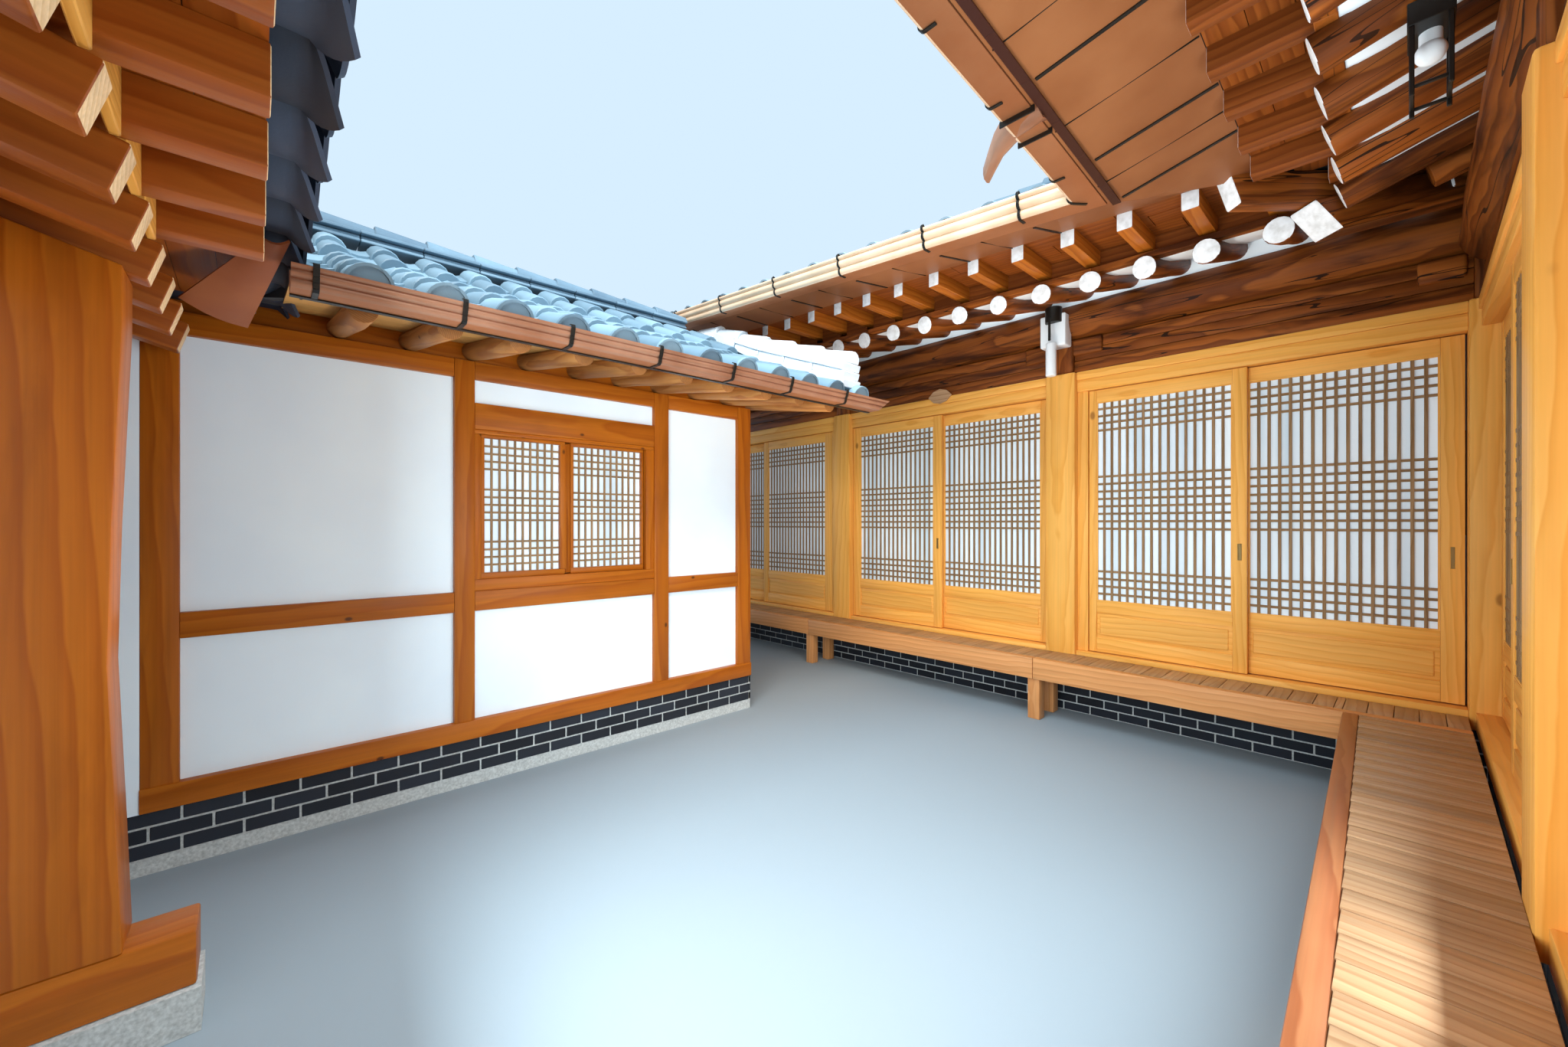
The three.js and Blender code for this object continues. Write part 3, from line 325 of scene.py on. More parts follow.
def pineMaterial(name, look):
    # Rings run along each timber's own grain; knots are spots between them, fibres a fine streak over them
    material, tree = startMaterial(name)
    grain = addNode(tree, "Attribute", {"attribute_name": "grain"}).outputs["Vector"]
    squeeze = lambda scale, **more: mapNode(tree, grain, scale, **more)
    multiply = lambda *values: mathNode(tree, "MULTIPLY", *values)
    rings = addNode(tree, "TexWave", {"wave_type": "RINGS", "rings_direction": "X", "wave_profile": "SAW"}, {
        "Vector": squeeze((0.55, 1.0, 1.0), Rotation=(0.0, 0.035, 0.045)), "Scale": 0.314 / look["ring"],
        "Distortion": look.get("wander", 3.5), "Detail": 2.0, "Detail Scale": 0.6, "Detail Roughness": 0.45})
    colour = rampNode(tree, rings.outputs["Fac"], [
        (0.0, look["light"]), (0.6, look["middle"]), (0.9, look["line"]), (1.0, look["light"])])
    fibre = noiseNode(tree, squeeze((1.2, 90.0, 90.0)), 1.0, 3.0)
    cloud = noiseNode(tree, squeeze((0.9, 7.0, 7.0)), 1.0, 2.0)
    streaky = look.get("streak", 0.14)
    board = multiply(rangeNode(tree, toneOf(tree), *look["tones"]),
                     rangeNode(tree, cloud, 1 - streaky, 1 + 0.7 * streaky, 0.3, 0.7))
    shade = multiply(rangeNode(tree, fibre, 1 - streaky, 1 + 0.8 * streaky, 0.25, 0.75), board)
    patch = noiseNode(tree, squeeze((1.1, 9.0, 9.0), Location=(3.0, 0.4, 0.7)), 1.0, 4.0,
                      Roughness=0.6, Distortion=0.6)
    stain = rangeNode(tree, patch, 0.0, look.get("stain", 0.25), 0.45, 0.7, "SMOOTHSTEP")
    colour = mixNode(tree, stain, colour, linear(look["dark"]))
    colour = addNode(tree, "HueSaturation", None, {"Color": colour, "Value": shade}).outputs["Color"]
    knots = addNode(tree, "TexVoronoi", None, {"Vector": squeeze(look["knotScale"]), "Scale": 1.0})
    spot = rangeNode(tree, knots.outputs["Distance"], 0.85, 0.0, 0.03, 0.07, "SMOOTHSTEP")
    colour = mixNode(tree, spot, colour, linear(look["knot"]))
    height = fibre
    if "crack" in look:  # thin dark drying cracks, as long as a hand or an arm
        split = noiseNode(tree, squeeze((0.55, 14.0, 14.0)), 1.0, 1.0, Distortion=0.2)
        gap = mathNode(tree, "COMPARE", split, 0.56, 0.006)
        colour = mixNode(tree, gap, colour, linear(look["crack"]))
        height = mathNode(tree, "SUBTRACT", fibre, gap)
    endMaterial(tree, {
        "Base Color": colour, "Roughness": rangeNode(tree, fibre, look["rough"] - 0.08, look["rough"] + 0.1),
        "Normal": bumpNode(tree, height, 0.35, 0.0012), "IOR": 1.5, "Specular IOR Level": 0.3})
    return material


# Softwood finishes of the house, all planed by hand; line is the late wood of a ring, dark its stains
honeyPine = pineMaterial("honeyPine", {  # new pine under clear oil: warm yellow, low contrast
    "light": "#FFB95C", "middle": "#FAB152", "line": "#F2A546", "dark": "#EB9D41", "knot": "#A5692C",
    "ring": 0.034, "knotScale": (1.6, 2.8, 2.8), "tones": (0.96, 1.03), "rough": 0.38, "streak": 0.07})
sunnyPine = pineMaterial("sunnyPine", {  # porch beams of newer pine: pinkish tan, fine grain
    "light": "#DB9960", "middle": "#D48F56", "line": "#C9834C", "dark": "#BF7B45", "knot": "#7A4320",
    "ring": 0.03, "knotScale": (1.3, 3.2, 3.2), "tones": (0.96, 1.04), "rough": 0.36, "streak": 0.1})
oiledPine = pineMaterial("oiledPine", {  # pine under tinted oil: orange brown, small dark knots
    "light": "#B66316", "middle": "#AE5B12", "line": "#A2500E", "dark": "#84400D", "knot": "#44200C",
    "ring": 0.05, "knotScale": (3.2, 5.2, 5.2), "tones": (0.94, 1.05), "rough": 0.36, "streak": 0.1,
    "stain": 0.4})
eavePine = pineMaterial("eavePine", {  # the near wing's planed rafters under tinted oil: deep orange brown
    "light": "#9C531B", "middle": "#934A16", "line": "#894111", "dark": "#72330C", "knot": "#46200C",
    "ring": 0.05, "knotScale": (2.4, 4.4, 4.4), "tones": (0.94, 1.06), "rough": 0.4, "streak": 0.09,
    "stain": 0.4})
flyingPine = pineMaterial("flyingPine", {  # newer square rafters of the tall wings: orange
    "light": "#B0631F", "middle": "#A55819", "line": "#954B12", "dark": "#7C3A0C", "knot": "#4A230C",
    "ring": 0.03, "knotScale": (1.4, 3.2, 3.2), "tones": (0.85, 1.1), "rough": 0.42})
oldPine = pineMaterial("oldPine", {  # reused beams and logs, stained by age: dark brown clouds and cracks
    "light": "#9E561F", "middle": "#884517", "line": "#6E3510", "dark": "#421C08", "knot": "#2A1208",
    "ring": 0.05, "knotScale": (1.7, 3.0, 3.0), "tones": (0.72, 1.12), "rough": 0.5, "wander": 8.0,
    "crack": "#2A1408", "stain": 0.95})
paintedShadePine = pineMaterial("paintedShadePine", {  # boards over the square rafters and behind them, and the right wing's square rafters: red brown, darkened with painted shade of the recess and of sides turned from the light
    "light": "#8A481A", "middle": "#7C3D15", "line": "#6E3410", "dark": "#56260B", "knot": "#3A1A0A",
    "ring": 0.03, "knotScale": (1.4, 3.2, 3.2), "tones": (0.85, 1.1), "rough": 0.5})
porchPine = pineMaterial("porchPine", {  # planed porch boards from many logs: tan to pink, some knots
    "light": "#BA936E", "middle": "#B28864", "line": "#A37652", "dark": "#9A6A42", "knot": "#74431F",
    "ring": 0.03, "knotScale": (1.3, 3.2, 3.2), "tones": (0.78, 1.12), "rough": 0.34})
redPine = pineMaterial("redPine", {  # porch edge beam: redder heartwood
    "light": "#AB6D45", "middle": "#A4613C", "line": "#975532", "dark": "#8B4826", "knot": "#5E2D12",
    "ring": 0.03, "knotScale": (1.2, 3.0, 3.0), "tones": (0.97, 1.05), "rough": 0.4})
latticePine = pineMaterial("latticePine", {  # thin window bars, stained: nut brown
    "light": "#A27E58", "middle": "#96724C", "line": "#876440", "dark": "#765434", "knot": "#5A3A20",
    "ring": 0.02, "knotScale": (0.6, 2.0, 2.0), "tones": (0.92, 1.08), "rough": 0.5})
lightPine = pineMaterial("lightPine", {  # new thin boards under the left eave: pale gold
    "light": "#DFAC68", "middle": "#D69E56", "line": "#C88E46", "dark": "#B97C36", "knot": "#7A4A20",
    "ring": 0.018, "knotScale": (1.4, 3.0, 3.0), "tones": (0.88, 1.08), "rough": 0.5})
barkedPine = pineMaterial("barkedPine", {  # left eave's thin logs, peeled by hand: dull brown, flecked
    "light": "#B27A42", "middle": "#A56C37", "line": "#93592A", "dark": "#6E3F1B", "knot": "#3D200E",
    "ring": 0.03, "knotScale": (3.0, 5.0, 5.0), "tones": (0.88, 1.08), "rough": 0.55, "stain": 0.6})
sawnEnd = pineMaterial("sawnEndGrain", {  # cut ends of those logs, darkened by weather
    "light": "#9A6436", "middle": "#8C572C", "line": "#7C4A23", "dark": "#63391A", "knot": "#4A2A12",
    "ring": 0.008, "knotScale": (1.0, 1.0, 1.0), "tones": (0.9, 1.05), "rough": 0.6})
paleLath = pineMaterial("paleLath", {  # new lath at the eave: golden
    "light": "#E0A350", "middle": "#D79743", "line": "#CB8936", "dark": "#BF7A2A", "knot": "#8A5420",
    "ring": 0.02, "knotScale": (1.0, 1.0, 1.0), "tones": (0.95, 1.05), "rough": 0.5})
paleEnd = pineMaterial("paleEndGrain", {  # fresh-cut end grain: pale, almost straw
    "light": "#EBCBA0", "middle": "#E3BF92", "line": "#D9B283", "dark": "#D0A676", "knot": "#B08450",
    "ring": 0.02, "knotScale": (0.5, 0.5, 0.5), "tones": (0.95, 1.1), "rough": 0.6})


def limeMaterial(name, scale, detail, stops, rough, bump, grit=None):  # limed: chalky, faintly uneven
    material, tree = startMaterial(name)
    place = objectPlace(tree)
    height = wave = noiseNode(tree, place, scale, detail)
    if grit:
        height = mathNode(tree, "MULTIPLY_ADD", noiseNode(tree, place, *grit), 0.25, wave)
    endMaterial(tree, {"Base Color": rampNode(tree, wave, stops), "Roughness": rough,
                       "Normal": bumpNode(tree, height, *bump)})
    return material


def clayMaterial(name, low, high, rough):  # clay fired in a smoky kiln: no two pieces quite alike
    material, tree = startMaterial(name)
    place = objectPlace(tree)
    smoke = noiseNode(tree, place, 6.0, 4.0)
    mixed = mathNode(tree, "MULTIPLY_ADD", smoke, 0.9, toneOf(tree))
    fired = rangeNode(tree, mixed, 0.0, 1.0, 0.25, 1.65)
    endMaterial(tree, {
        "Base Color": rampNode(tree, fired, [(0.0, low), (1.0, high)]),
        "Roughness": rangeNode(tree, smoke, rough - 0.1, rough + 0.12),
        "Normal": bumpNode(tree, noiseNode(tree, place, 160.0, 2.0), 0.3)})
    return material


def copperMaterial(name, low, high, metallic, rough):  # sheet copper left outdoors: brown skin, hazy shine
    material, tree = startMaterial(name)
    place = objectPlace(tree)
    skin = noiseNode(tree, place, 3.2, 5.0)
    endMaterial(tree, {
        "Base Color": rampNode(tree, skin, [(0.3, low), (0.7, high)]), "Metallic": metallic,
        "Roughness": rangeNode(tree, skin, rough - 0.08, rough + 0.12),
        "Normal": bumpNode(tree, noiseNode(tree, place, 9.0, 1.0), 0.2, 0.004)})
    return material


def paneMaterial():  # clear glass over a pale blind: soft folds, a sharp shine, and a faint painted glow for daylight through the cloth
    material, tree = startMaterial("glassOverBlind")
    cloth = noiseNode(tree, mapNode(tree, objectPlace(tree), (9.0, 9.0, 0.25)), 1.0, 2.0)
    endMaterial(tree, {
        "Base Color": rampNode(tree, cloth, [(0.3, "#CBD8E0"), (0.5, "#E8EFF3"), (0.75, "#F8FBFC")]),
        "Roughness": 0.55, "Coat Weight": 1.0, "Coat Roughness": 0.02, "Coat IOR": 1.5,
        # the emission is a painted glow that stands in for daylight through the blind
        "Emission Color": linear("#E2ECF4"), "Emission Strength": 0.16})
    return material


def plainMaterial(name, code, metallic, rough):  # one colour, slightly uneven in its shine
    material, tree = startMaterial(name)
    wear = noiseNode(tree, objectPlace(tree), 40.0, 3.0)
    endMaterial(tree, {"Base Color": linear(code), "Metallic": metallic,
                       "Roughness": rangeNode(tree, wear, rough - 0.08, rough + 0.1)})
    return material


limePlaster = limeMaterial(  # trowelled wall plaster
    "limePlaster", 1.6, 3.0, [(0.3, "#EAF1F7"), (0.7, "#F4FAFC")], 0.92, (0.25, 0.002), (220.0, 2.0))
limePaint = limeMaterial(  # thin paint on end grain
    "limePaint", 28.0, 3.0, [(0.3, "#D6D3D0"), (0.55, "#ECEAE9"), (0.8, "#F4F4F5")], 0.85, (0.3,))
limeMortar = limeMaterial(  # pale, sandy joints
    "limeMortar", 90.0, 4.0, [(0.3, "#A9A8A4"), (0.7, "#CFCFCB")], 0.95, (0.4,))
greyClay = clayMaterial("smokedGreyTile", "#5F7683", "#93AAB7", 0.6)
paleClay = clayMaterial("paleSmokedTile", "#5C7484", "#84A0B0", 0.5)
ridgeClay = clayMaterial("darkRidgeTile", "#54697A", "#7D97A8", 0.6)
limedClay = clayMaterial("limeWashedTile", "#C9D3DC", "#EEF2F5", 0.6)
clayBed = clayMaterial("tileBedClay", "#3A3C3E", "#55585B", 0.85)
blackClay = clayMaterial("charcoalTile", "#212733", "#3C4658", 0.55)
darkBrick = clayMaterial("darkFiredBrick", "#15171C", "#2A2E37", 0.7)
agedCopper = copperMaterial("agedCopper", "#A5653F", "#B87A52", 0.6, 0.42)
# rosy copper: the spout's own colour, and on the left gutter's outward faces a painted highlight
roseCopper = copperMaterial("roseCopper", "#A06A4E", "#BE8C70", 0.6, 0.32)
# pale copper for the gutters' outward faces: a painted highlight on the mouldings
paintedHighlightCopper = copperMaterial("paintedHighlightCopper", "#D9AE88", "#EBCDAE", 0.3, 0.32)
soffitCopper = copperMaterial("soffitCopper", "#8F5530", "#A1663E", 0.35, 0.5)
cornerCopper = copperMaterial("cornerCopper", "#8A4524", "#A05B33", 0.3, 0.5)
darkStrip = plainMaterial("darkCopperEdge", "#3E1E16", 0.3, 0.45)
blackIron = plainMaterial("blackPaintedSteel", "#14120F", 0.0, 0.4)
whiteEnamel = plainMaterial("whiteEnamel", "#EDEFF0", 0.0, 0.35)
brass = plainMaterial("agedBrass", "#C9B27A", 1.0, 0.35)
glassOverBlind = paneMaterial()
print("materials ready")


# Door leaves: a runs along the track, d goes into the house
leaves = {
    "back_leaf_1_left": {"axis": "x", "ends": (-6.397, -5.545), "stiles": (0.09, 0.09), "track": 1},
    "back_leaf_1_right": {"axis": "x", "ends": (-5.625, -4.443), "stiles": (0.085, 0.107), "track": 0},
    "back_leaf_2_left": {"axis": "x", "ends": (-4.127, -3.030), "stiles": (0.097, 0.09), "track": 0},
    "back_leaf_2_right": {"axis": "x", "ends": (-3.120, -2.031), "stiles": (0.09, 0.079), "track": 1},
    "back_leaf_3_left": {"axis": "x", "ends": (-1.713, -0.736), "stiles": (0.054, 0.077), "track": 0},
    "back_leaf_3_right": {"axis": "x", "ends": (-0.813, 0.198), "stiles": (0.077, 0.09), "track": 1},
    "right_leaf_1_far": {"axis": "y", "ends": (3.640, 4.752), "stiles": (0.085, 0.08), "track": 1},
    "right_leaf_1_near": {"axis": "y", "ends": (2.608, 3.725), "stiles": (0.08, 0.085), "track": 0},
    "right_fixed_screen": {"axis": "y", "ends": (0.195, 2.365), "stiles": (0.09, 0.09), "track": 0,
                           "post": 1.28},
}
# Depths are measured inwards from the leaf's outer face
leafBuild = {
    "face": {"x": 4.83, "y": 0.27}, "step": 0.045, "thick": 0.033, "slide": (0.506, 2.534),
    "fixed": (0.5006, 2.5394), "panel": (0.619, 0.808), "pane": (0.90, 2.44), "handleZ": 1.31,
    "bar": 0.016, "pitch": 0.052, "post": 0.04, "shy": 0.0005,
    "rails": (0.001, 0.032), "sunk": (0.010, 0.024), "field": (0.004, 0.011), "fieldEdge": 0.022,
    "beads": (0.003, 0.012), "beadWide": 0.009, "uprights": (0.004, 0.0155), "levels": (0.0048, 0.0147),
    "glass": (0.0165, 0.0215), "bands": [(2.44, -0.055, 4), (1.862, -0.0575, 7), (0.90, 0.0575, 4)],
}


def leafBoard(leaf, a0, a1, depths, z0, z1):
    near = leafBuild["face"][leaf["axis"]] + leaf["track"] * leafBuild["step"]
    d0, d1 = (near + d for d in depths)
    if leaf["axis"] == "x":
        addBoard((a0, d0, z0), (a1, d1, z1))
    else:
        addBoard((d0, a0, z0), (d1, a1, z1))


def leafFields(leaf):  # the glazed fields between the stiles, as pairs along the track
    (low, high), (left, right) = leaf["ends"], leaf["stiles"]
    half = leafBuild["post"]
    cuts = [leaf["post"] - half, leaf["post"] + half] if "post" in leaf else []
    cuts = [low + left, *cuts, high - right]
    return list(zip(cuts[::2], cuts[1::2]))


def latticeBars(leaf, a0, a1, make):  # upright bars at one pitch, level bars in bands
    (z0, z1), half = make["pane"], make["bar"] / 2
    count = round((a1 - a0) / make["pitch"])
    for k in range(1, count):
        a = a0 + (a1 - a0) * k / count
        leafBoard(leaf, a - half, a + half, make["uprights"], z0 + 0.001, z1 - 0.001)
    for start, step, lines in make["bands"]:
        for k in range(1 if start in make["pane"] else 0, lines + 1):
            z = start + step * k
            leafBoard(leaf, a0 + 0.001, a1 - 0.001, make["levels"], z - half, z + half)


def bodyOf(name):
    return name if name in frame["bodies"] else "house"


def buildLeaf(name, leaf):
    make = leafBuild
    whole, shy = (0, make["thick"]), make["shy"]
    (low, high), (left, right) = leaf["ends"], leaf["stiles"]
    foot, head = make["fixed" if "post" in leaf else "slide"]
    (panelLow, panelHigh), (paneLow, paneHigh) = make["panel"], make["pane"]
    fields = leafFields(leaf)
    startPiece(name + "_timber")
    leafBoard(leaf, low, low + left - shy, whole, foot, head)
    leafBoard(leaf, high - right + shy, high, whole, foot, head)
    if "post" in leaf:
        half = make["post"] - shy
        leafBoard(leaf, leaf["post"] - half, leaf["post"] + half, whole, foot, head)
    for a0, a1 in fields:
        for z0, z1 in ((foot, panelLow), (panelHigh, paneLow), (paneHigh, head)):
            leafBoard(leaf, a0, a1, make["rails"], z0, z1)
        leafBoard(leaf, a0, a1, make["sunk"], panelLow - 0.001, panelHigh + 0.001)
    endPiece([honeyPine], "honey_pine", bodyOf(name), [name], edge=0.0025)

    # the raised field of each panel, with its wide sloping edge, and the slim beads round the glass
    startPiece(name + "_field")
    rim, bead = make["fieldEdge"], make["beadWide"]
    for a0, a1 in fields:
        leafBoard(leaf, a0 + rim, a1 - rim, make["field"], panelLow + rim, panelHigh - rim)
    roundEdges(0.005, 1)
    for a0, a1 in fields:
        b0, b1 = a0 + bead, a1 - bead
        for c0, c1, z0, z1 in ((a0, b0, paneLow, paneHigh), (b1, a1, paneLow, paneHigh),
                               (b0, b1, paneLow, paneLow + bead), (b0, b1, paneHigh - bead, paneHigh)):
            leafBoard(leaf, c0, c1, make["beads"], z0, z1)
    endPiece([honeyPine], "honey_pine", bodyOf(name))

    startPiece(name + "_lattice")
    for a0, a1 in fields:
        latticeBars(leaf, a0, a1, make)
    endPiece([latticePine], "honey_pine", bodyOf(name), edge=0.0012, facets=1)

    startPiece(name + "_pane")
    for a0, a1 in fields:
        leafBoard(leaf, a0 - 0.002, a1 + 0.002, make["glass"], paneLow - 0.002, paneHigh + 0.002)
    endPiece([glassOverBlind], "honey_pine", bodyOf(name), grain=False, edge=0.001, facets=1)


for leafName, leafSpec in leaves.items():
    buildLeaf(leafName, leafSpec)
print("door leaves ready")

# Finger pulls, let into the stiles: place, width, height, how proud
pulls = {"back_leaf_3_left": (-0.775, 0.022, 0.11, 0.004), "back_leaf_3_right": (0.154, 0.016, 0.12, 0.002),
         "back_leaf_2_left": (-3.075, 0.02, 0.1, 0.004), "right_leaf_1_near": (3.68, 0.02, 0.1, 0.004)}
pullRim = 0.004


def buildPull(name, a, wide, high, proud):
    half, low, top = wide / 2, leafBuild["handleZ"] - high / 2, leafBuild["handleZ"] + high / 2
    inner, rim = half - 0.003, (-proud, pullRim)
    startPiece(name + "_pull")
    for a0, a1, depths, z0, z1 in (
            (-half, pullRim - half, rim, low, top), (half - pullRim, half, rim, low, top),
            (pullRim - half, half - pullRim, rim, low, low + pullRim),
            (pullRim - half, half - pullRim, rim, top - pullRim, top),
            (-inner, inner, (-0.0008, 0.003), low + 0.003, top - 0.003)):
        leafBoard(leaves[name], a + a0, a + a1, depths, z0, z1)
    endPiece([brass], "honey_pine", bodyOf(name), grain=False, edge=0.001, facets=1)


for pullName, pullSpec in pulls.items():
    buildPull(pullName, *pullSpec)

# Columns, sills, heads and beams of the two tall wings; places run along the row, depths across it
row = {
    "column": 0.228, "sill": (0.4003, 0.5), "head": (2.54, 2.63), "lintel": (2.63, 2.695), "shortest": 0.3,
    "beams": [(2.697, 2.786, 0.066), (2.789, 2.872, 0.060), (2.875, 2.958, 0.055)], "chamfer": 0.012,
    "beamBack": 0.055, "topHalf": 0.092, "arm": 0.30, "armHigh": 0.13, "armDeep": (-0.078, 0.07),
    "sillHalf": 0.09, "headHalf": 0.07, "lintelHalf": 0.08, "jambHalf": 0.056,
}
rows = {
    "back_front": {"line": 4.88, "centres": [-6.59, -4.25, -1.911, 0.32], "ends": (-6.703, 0.205),
                   "top": 2.9597, "jambs": [(-6.477, -6.403), (-4.437, -4.363), (-1.798, -1.719)]},
    "right_inner": {"line": 0.32, "centres": [2.48, 0.08], "ends": (-0.033, 4.765), "top": 3.105,
                    "jambs": []},
}


def buildRow(name, spec):
    line, (low, high), top = spec["line"], spec["ends"], spec["top"]
    half, slim, stands = row["column"] / 2, row["topHalf"], [name + "_frame"]

    def rowBoard(a0, a1, b0, b1, z0, z1):
        if name == "back_front":
            addBoard((a0, line + b0, z0), (a1, line + b1, z1))
        else:
            addBoard((line + b0, a0, z0), (line + b1, a1, z1))

    startPiece(name + "_columns")
    for c in spec["centres"]:
        rowBoard(c - half, c + half, -half, half, row["sill"][0], row["lintel"][1])
    endPiece([honeyPine], "old_pine", stands=stands, edge=row["chamfer"])
    # above the lintel the column narrows and carries a short arm under the purlin
    startPiece(name + "_column_tops")
    for c in spec["centres"]:
        rowBoard(c - slim, c + slim, -slim, slim, row["lintel"][1] - 0.001, top)
        rowBoard(max(low, c - row["arm"]), min(high, c + row["arm"]), *row["armDeep"],
                 top - row["armHigh"], top)
    endPiece([oldPine], "old_pine", stands=stands, edge=0.018, facets=3)

    startPiece(name + "_rails")
    stops = [low] + [edge for c in sorted(spec["centres"]) for edge in (c - half, c + half)] + [high]
    spans = [(a0, a1) for a0, a1 in zip(stops[::2], stops[1::2]) if a1 - a0 >= row["shortest"]]
    for a0, a1 in spans:
        rowBoard(a0, a1, -row["sillHalf"], row["sillHalf"], *row["sill"])
        rowBoard(a0, a1, -row["headHalf"], row["headHalf"], *row["head"])
        rowBoard(a0, a1, -row["lintelHalf"], row["lintelHalf"], row["lintel"][0] + 0.001, row["lintel"][1])
    for a0, a1 in spec["jambs"]:
        rowBoard(a0, a1, -row["jambHalf"], row["jambHalf"], row["sill"][1], row["head"][0])
    endPiece([honeyPine], "old_pine", stands=stands, edge=0.004)

    startPiece(name + "_beams")
    for a0, a1 in spans:
        for z0, z1, proud in row["beams"]:
            z1 = top - 0.002 if z1 == row["beams"][-1][1] else z1
            rowBoard(a0 - half + slim, a1 + half - slim, -proud, row["beamBack"], z0, z1)
    endPiece([oldPine], "old_pine", stands=stands, edge=0.007)


for rowName, rowSpec in rows.items():
    buildRow(rowName, rowSpec)


def paintNode(name, material):  # gives a carried-over node a finish of its own
    for place in frame["nodes"][name].material_slots:
        place.material = material


for nodeName in ("back_outer_wall", "right_outer_wall", "left_front_infill", "left_outer_wall", "near_wall"):
    paintNode(nodeName, limePlaster)
for nodeName in ("back_base", "right_base", "left_base", "near_base"):
    paintNode(nodeName, limeMortar)
print("frames of the tall wings ready")


# Tall roof: on each slope s runs along the eave from the inner or outer corner, t goes in towards the ridge
eaveCorner = (-0.93, 3.32)
outerCorner = (5.03, 9.28)
roofHalf = 2.98
ridgeFoot = 4.88
rafter = {"radius": 0.067, "tipZ": 3.04, "purlinZ": 3.11, "purlinRadius": 0.15, "touch": 0.0003}
tipReach = 0.65
backSeat = 4.88 - eaveCorner[1]
rightSeat = 0.32 - eaveCorner[0]
slopes = {
    "back_front": {"spot": lambda s, t: (eaveCorner[0] - s, eaveCorner[1] + t), "out": (0, -1, 0),
                   "lean": -1, "end": 6.02, "first": 0.168, "pitch": 0.31, "tip": 0.65, "seat": backSeat,
                   "flying": 0.30, "lift": 0.03, "wall": 5.66},
    "right_inner": {"spot": lambda s, t: (eaveCorner[0] + t, eaveCorner[1] - s), "out": (-1, 0, 0),
                    "lean": -1, "end": 3.92, "first": 0.37, "pitch": 0.29, "tip": 0.70, "seat": rightSeat,
                    "flying": 0.41, "lift": 0.045, "wall": 3.24},
    "back_rear": {"spot": lambda s, t: (outerCorner[0] - s, outerCorner[1] - t), "out": (0, 1, 0),
                  "lean": 1, "end": 11.98, "first": 0.305, "pitch": 0.31, "tip": 0.65, "seat": backSeat},
    "right_outer": {"spot": lambda s, t: (outerCorner[0] - t, outerCorner[1] - s), "out": (1, 0, 0),
                    "lean": 1, "end": 9.88, "first": 0.055, "pitch": 0.31, "tip": 0.65, "seat": rightSeat},
}
# The courtyard's tiles reach past the corner lines
courtEave = {"out": 0.12, "under": 3.20, "bedUnder": 3.185}
flying = {"root": 1.15, "tipZ": 3.20, "lift": 0.045, "wide": 0.08, "high": 0.10, "sunk": 0.018,
          "clear": 0.16, "least": 0.40}


def capped(s):
    return min(max(0.0, s), 3.5)


def lowRafter():  # where the rafters lie on the purlin, and how steep they are
    reach = rafter["purlinRadius"] + rafter["radius"]
    seat = rafter["purlinZ"] + reach
    for _ in range(3):
        grade = (seat - rafter["tipZ"]) / (backSeat - tipReach)
        seat = rafter["purlinZ"] + (reach + rafter["touch"]) * math.hypot(1, grade)
    return seat, grade


lowSeat, lowGrade = lowRafter()
rafterHalfHigh = rafter["radius"] * math.hypot(1, lowGrade)


def lowAxis(t):
    return lowSeat + lowGrade * (t - backSeat)


def rafterAxis(slope, s):
    lift = slope["lift"] * capped(s) if slope["lean"] < 0 else 0.0
    grade = lowGrade - lift / (slope["seat"] - tipReach)
    return lambda t: lowAxis(slope["seat"]) + rafter["touch"] + grade * (t - slope["seat"])


def eaveLift(slope, s):
    if slope["lean"] < 0:
        return 0.083 * max(0.0, s)
    near = lambda reach: max(0.0, 1 - reach / 4.5) ** 2
    return 0.25 * (near(s) + near(slope["end"] - s))


def tallUnder(slope, s, t):  # the roof bed's underside
    rise = 0.045 * capped(s) if slope["lean"] < 0 else 0.0
    edge = (-courtEave["out"], courtEave["under"]) if slope["lean"] < 0 else (0.0, 3.28)
    stations = [(edge[0], edge[1] + eaveLift(slope, s)), (0.30, 3.265 + rise), (tipReach, 3.28 + rise),
                (backSeat, lowAxis(backSeat) + rafterHalfHigh + 0.0006),
                (roofHalf, lowAxis(roofHalf) + rafterHalfHigh)]
    for (t0, z0), (t1, z1) in zip(stations, stations[1:]):
        if t <= t1:
            return z0 + (z1 - z0) * (t - t0) / (t1 - t0)
    return stations[-1][1]


def tallTop(slope, s, t):  # the tiles' pans: a straight slope that sags a little
    part = min(1.0, t / (roofHalf - 0.15))
    eave = 3.38 + eaveLift(slope, s)
    return eave + (ridgeFoot - eave) * (0.85 * part + 0.15 * part * part)


def besideWall(slope, s):  # a rafter that would meet a gable wall stands just beyond it
    clear = 0.07 + rafter["radius"] + 0.008
    return slope["wall"] + clear if "wall" in slope and abs(s - slope["wall"]) < clear else s


def rafterPlaces(slope):  # (s, lower t, upper t) of each round rafter, cut at the valley or the hip
    places = []
    k = -10
    while slope["first"] + k * slope["pitch"] < slope["end"] - rafter["radius"]:
        s = besideWall(slope, slope["first"] + k * slope["pitch"])
        k += 1
        upper = roofHalf - 0.06
        start = max(slope["tip"], 0.2 - s if slope["lean"] < 0 else slope["tip"])
        stop = min(upper, s - 0.2) if slope["lean"] > 0 else upper
        if stop - start >= 0.25:
            places.append((s, start, stop))
    return places


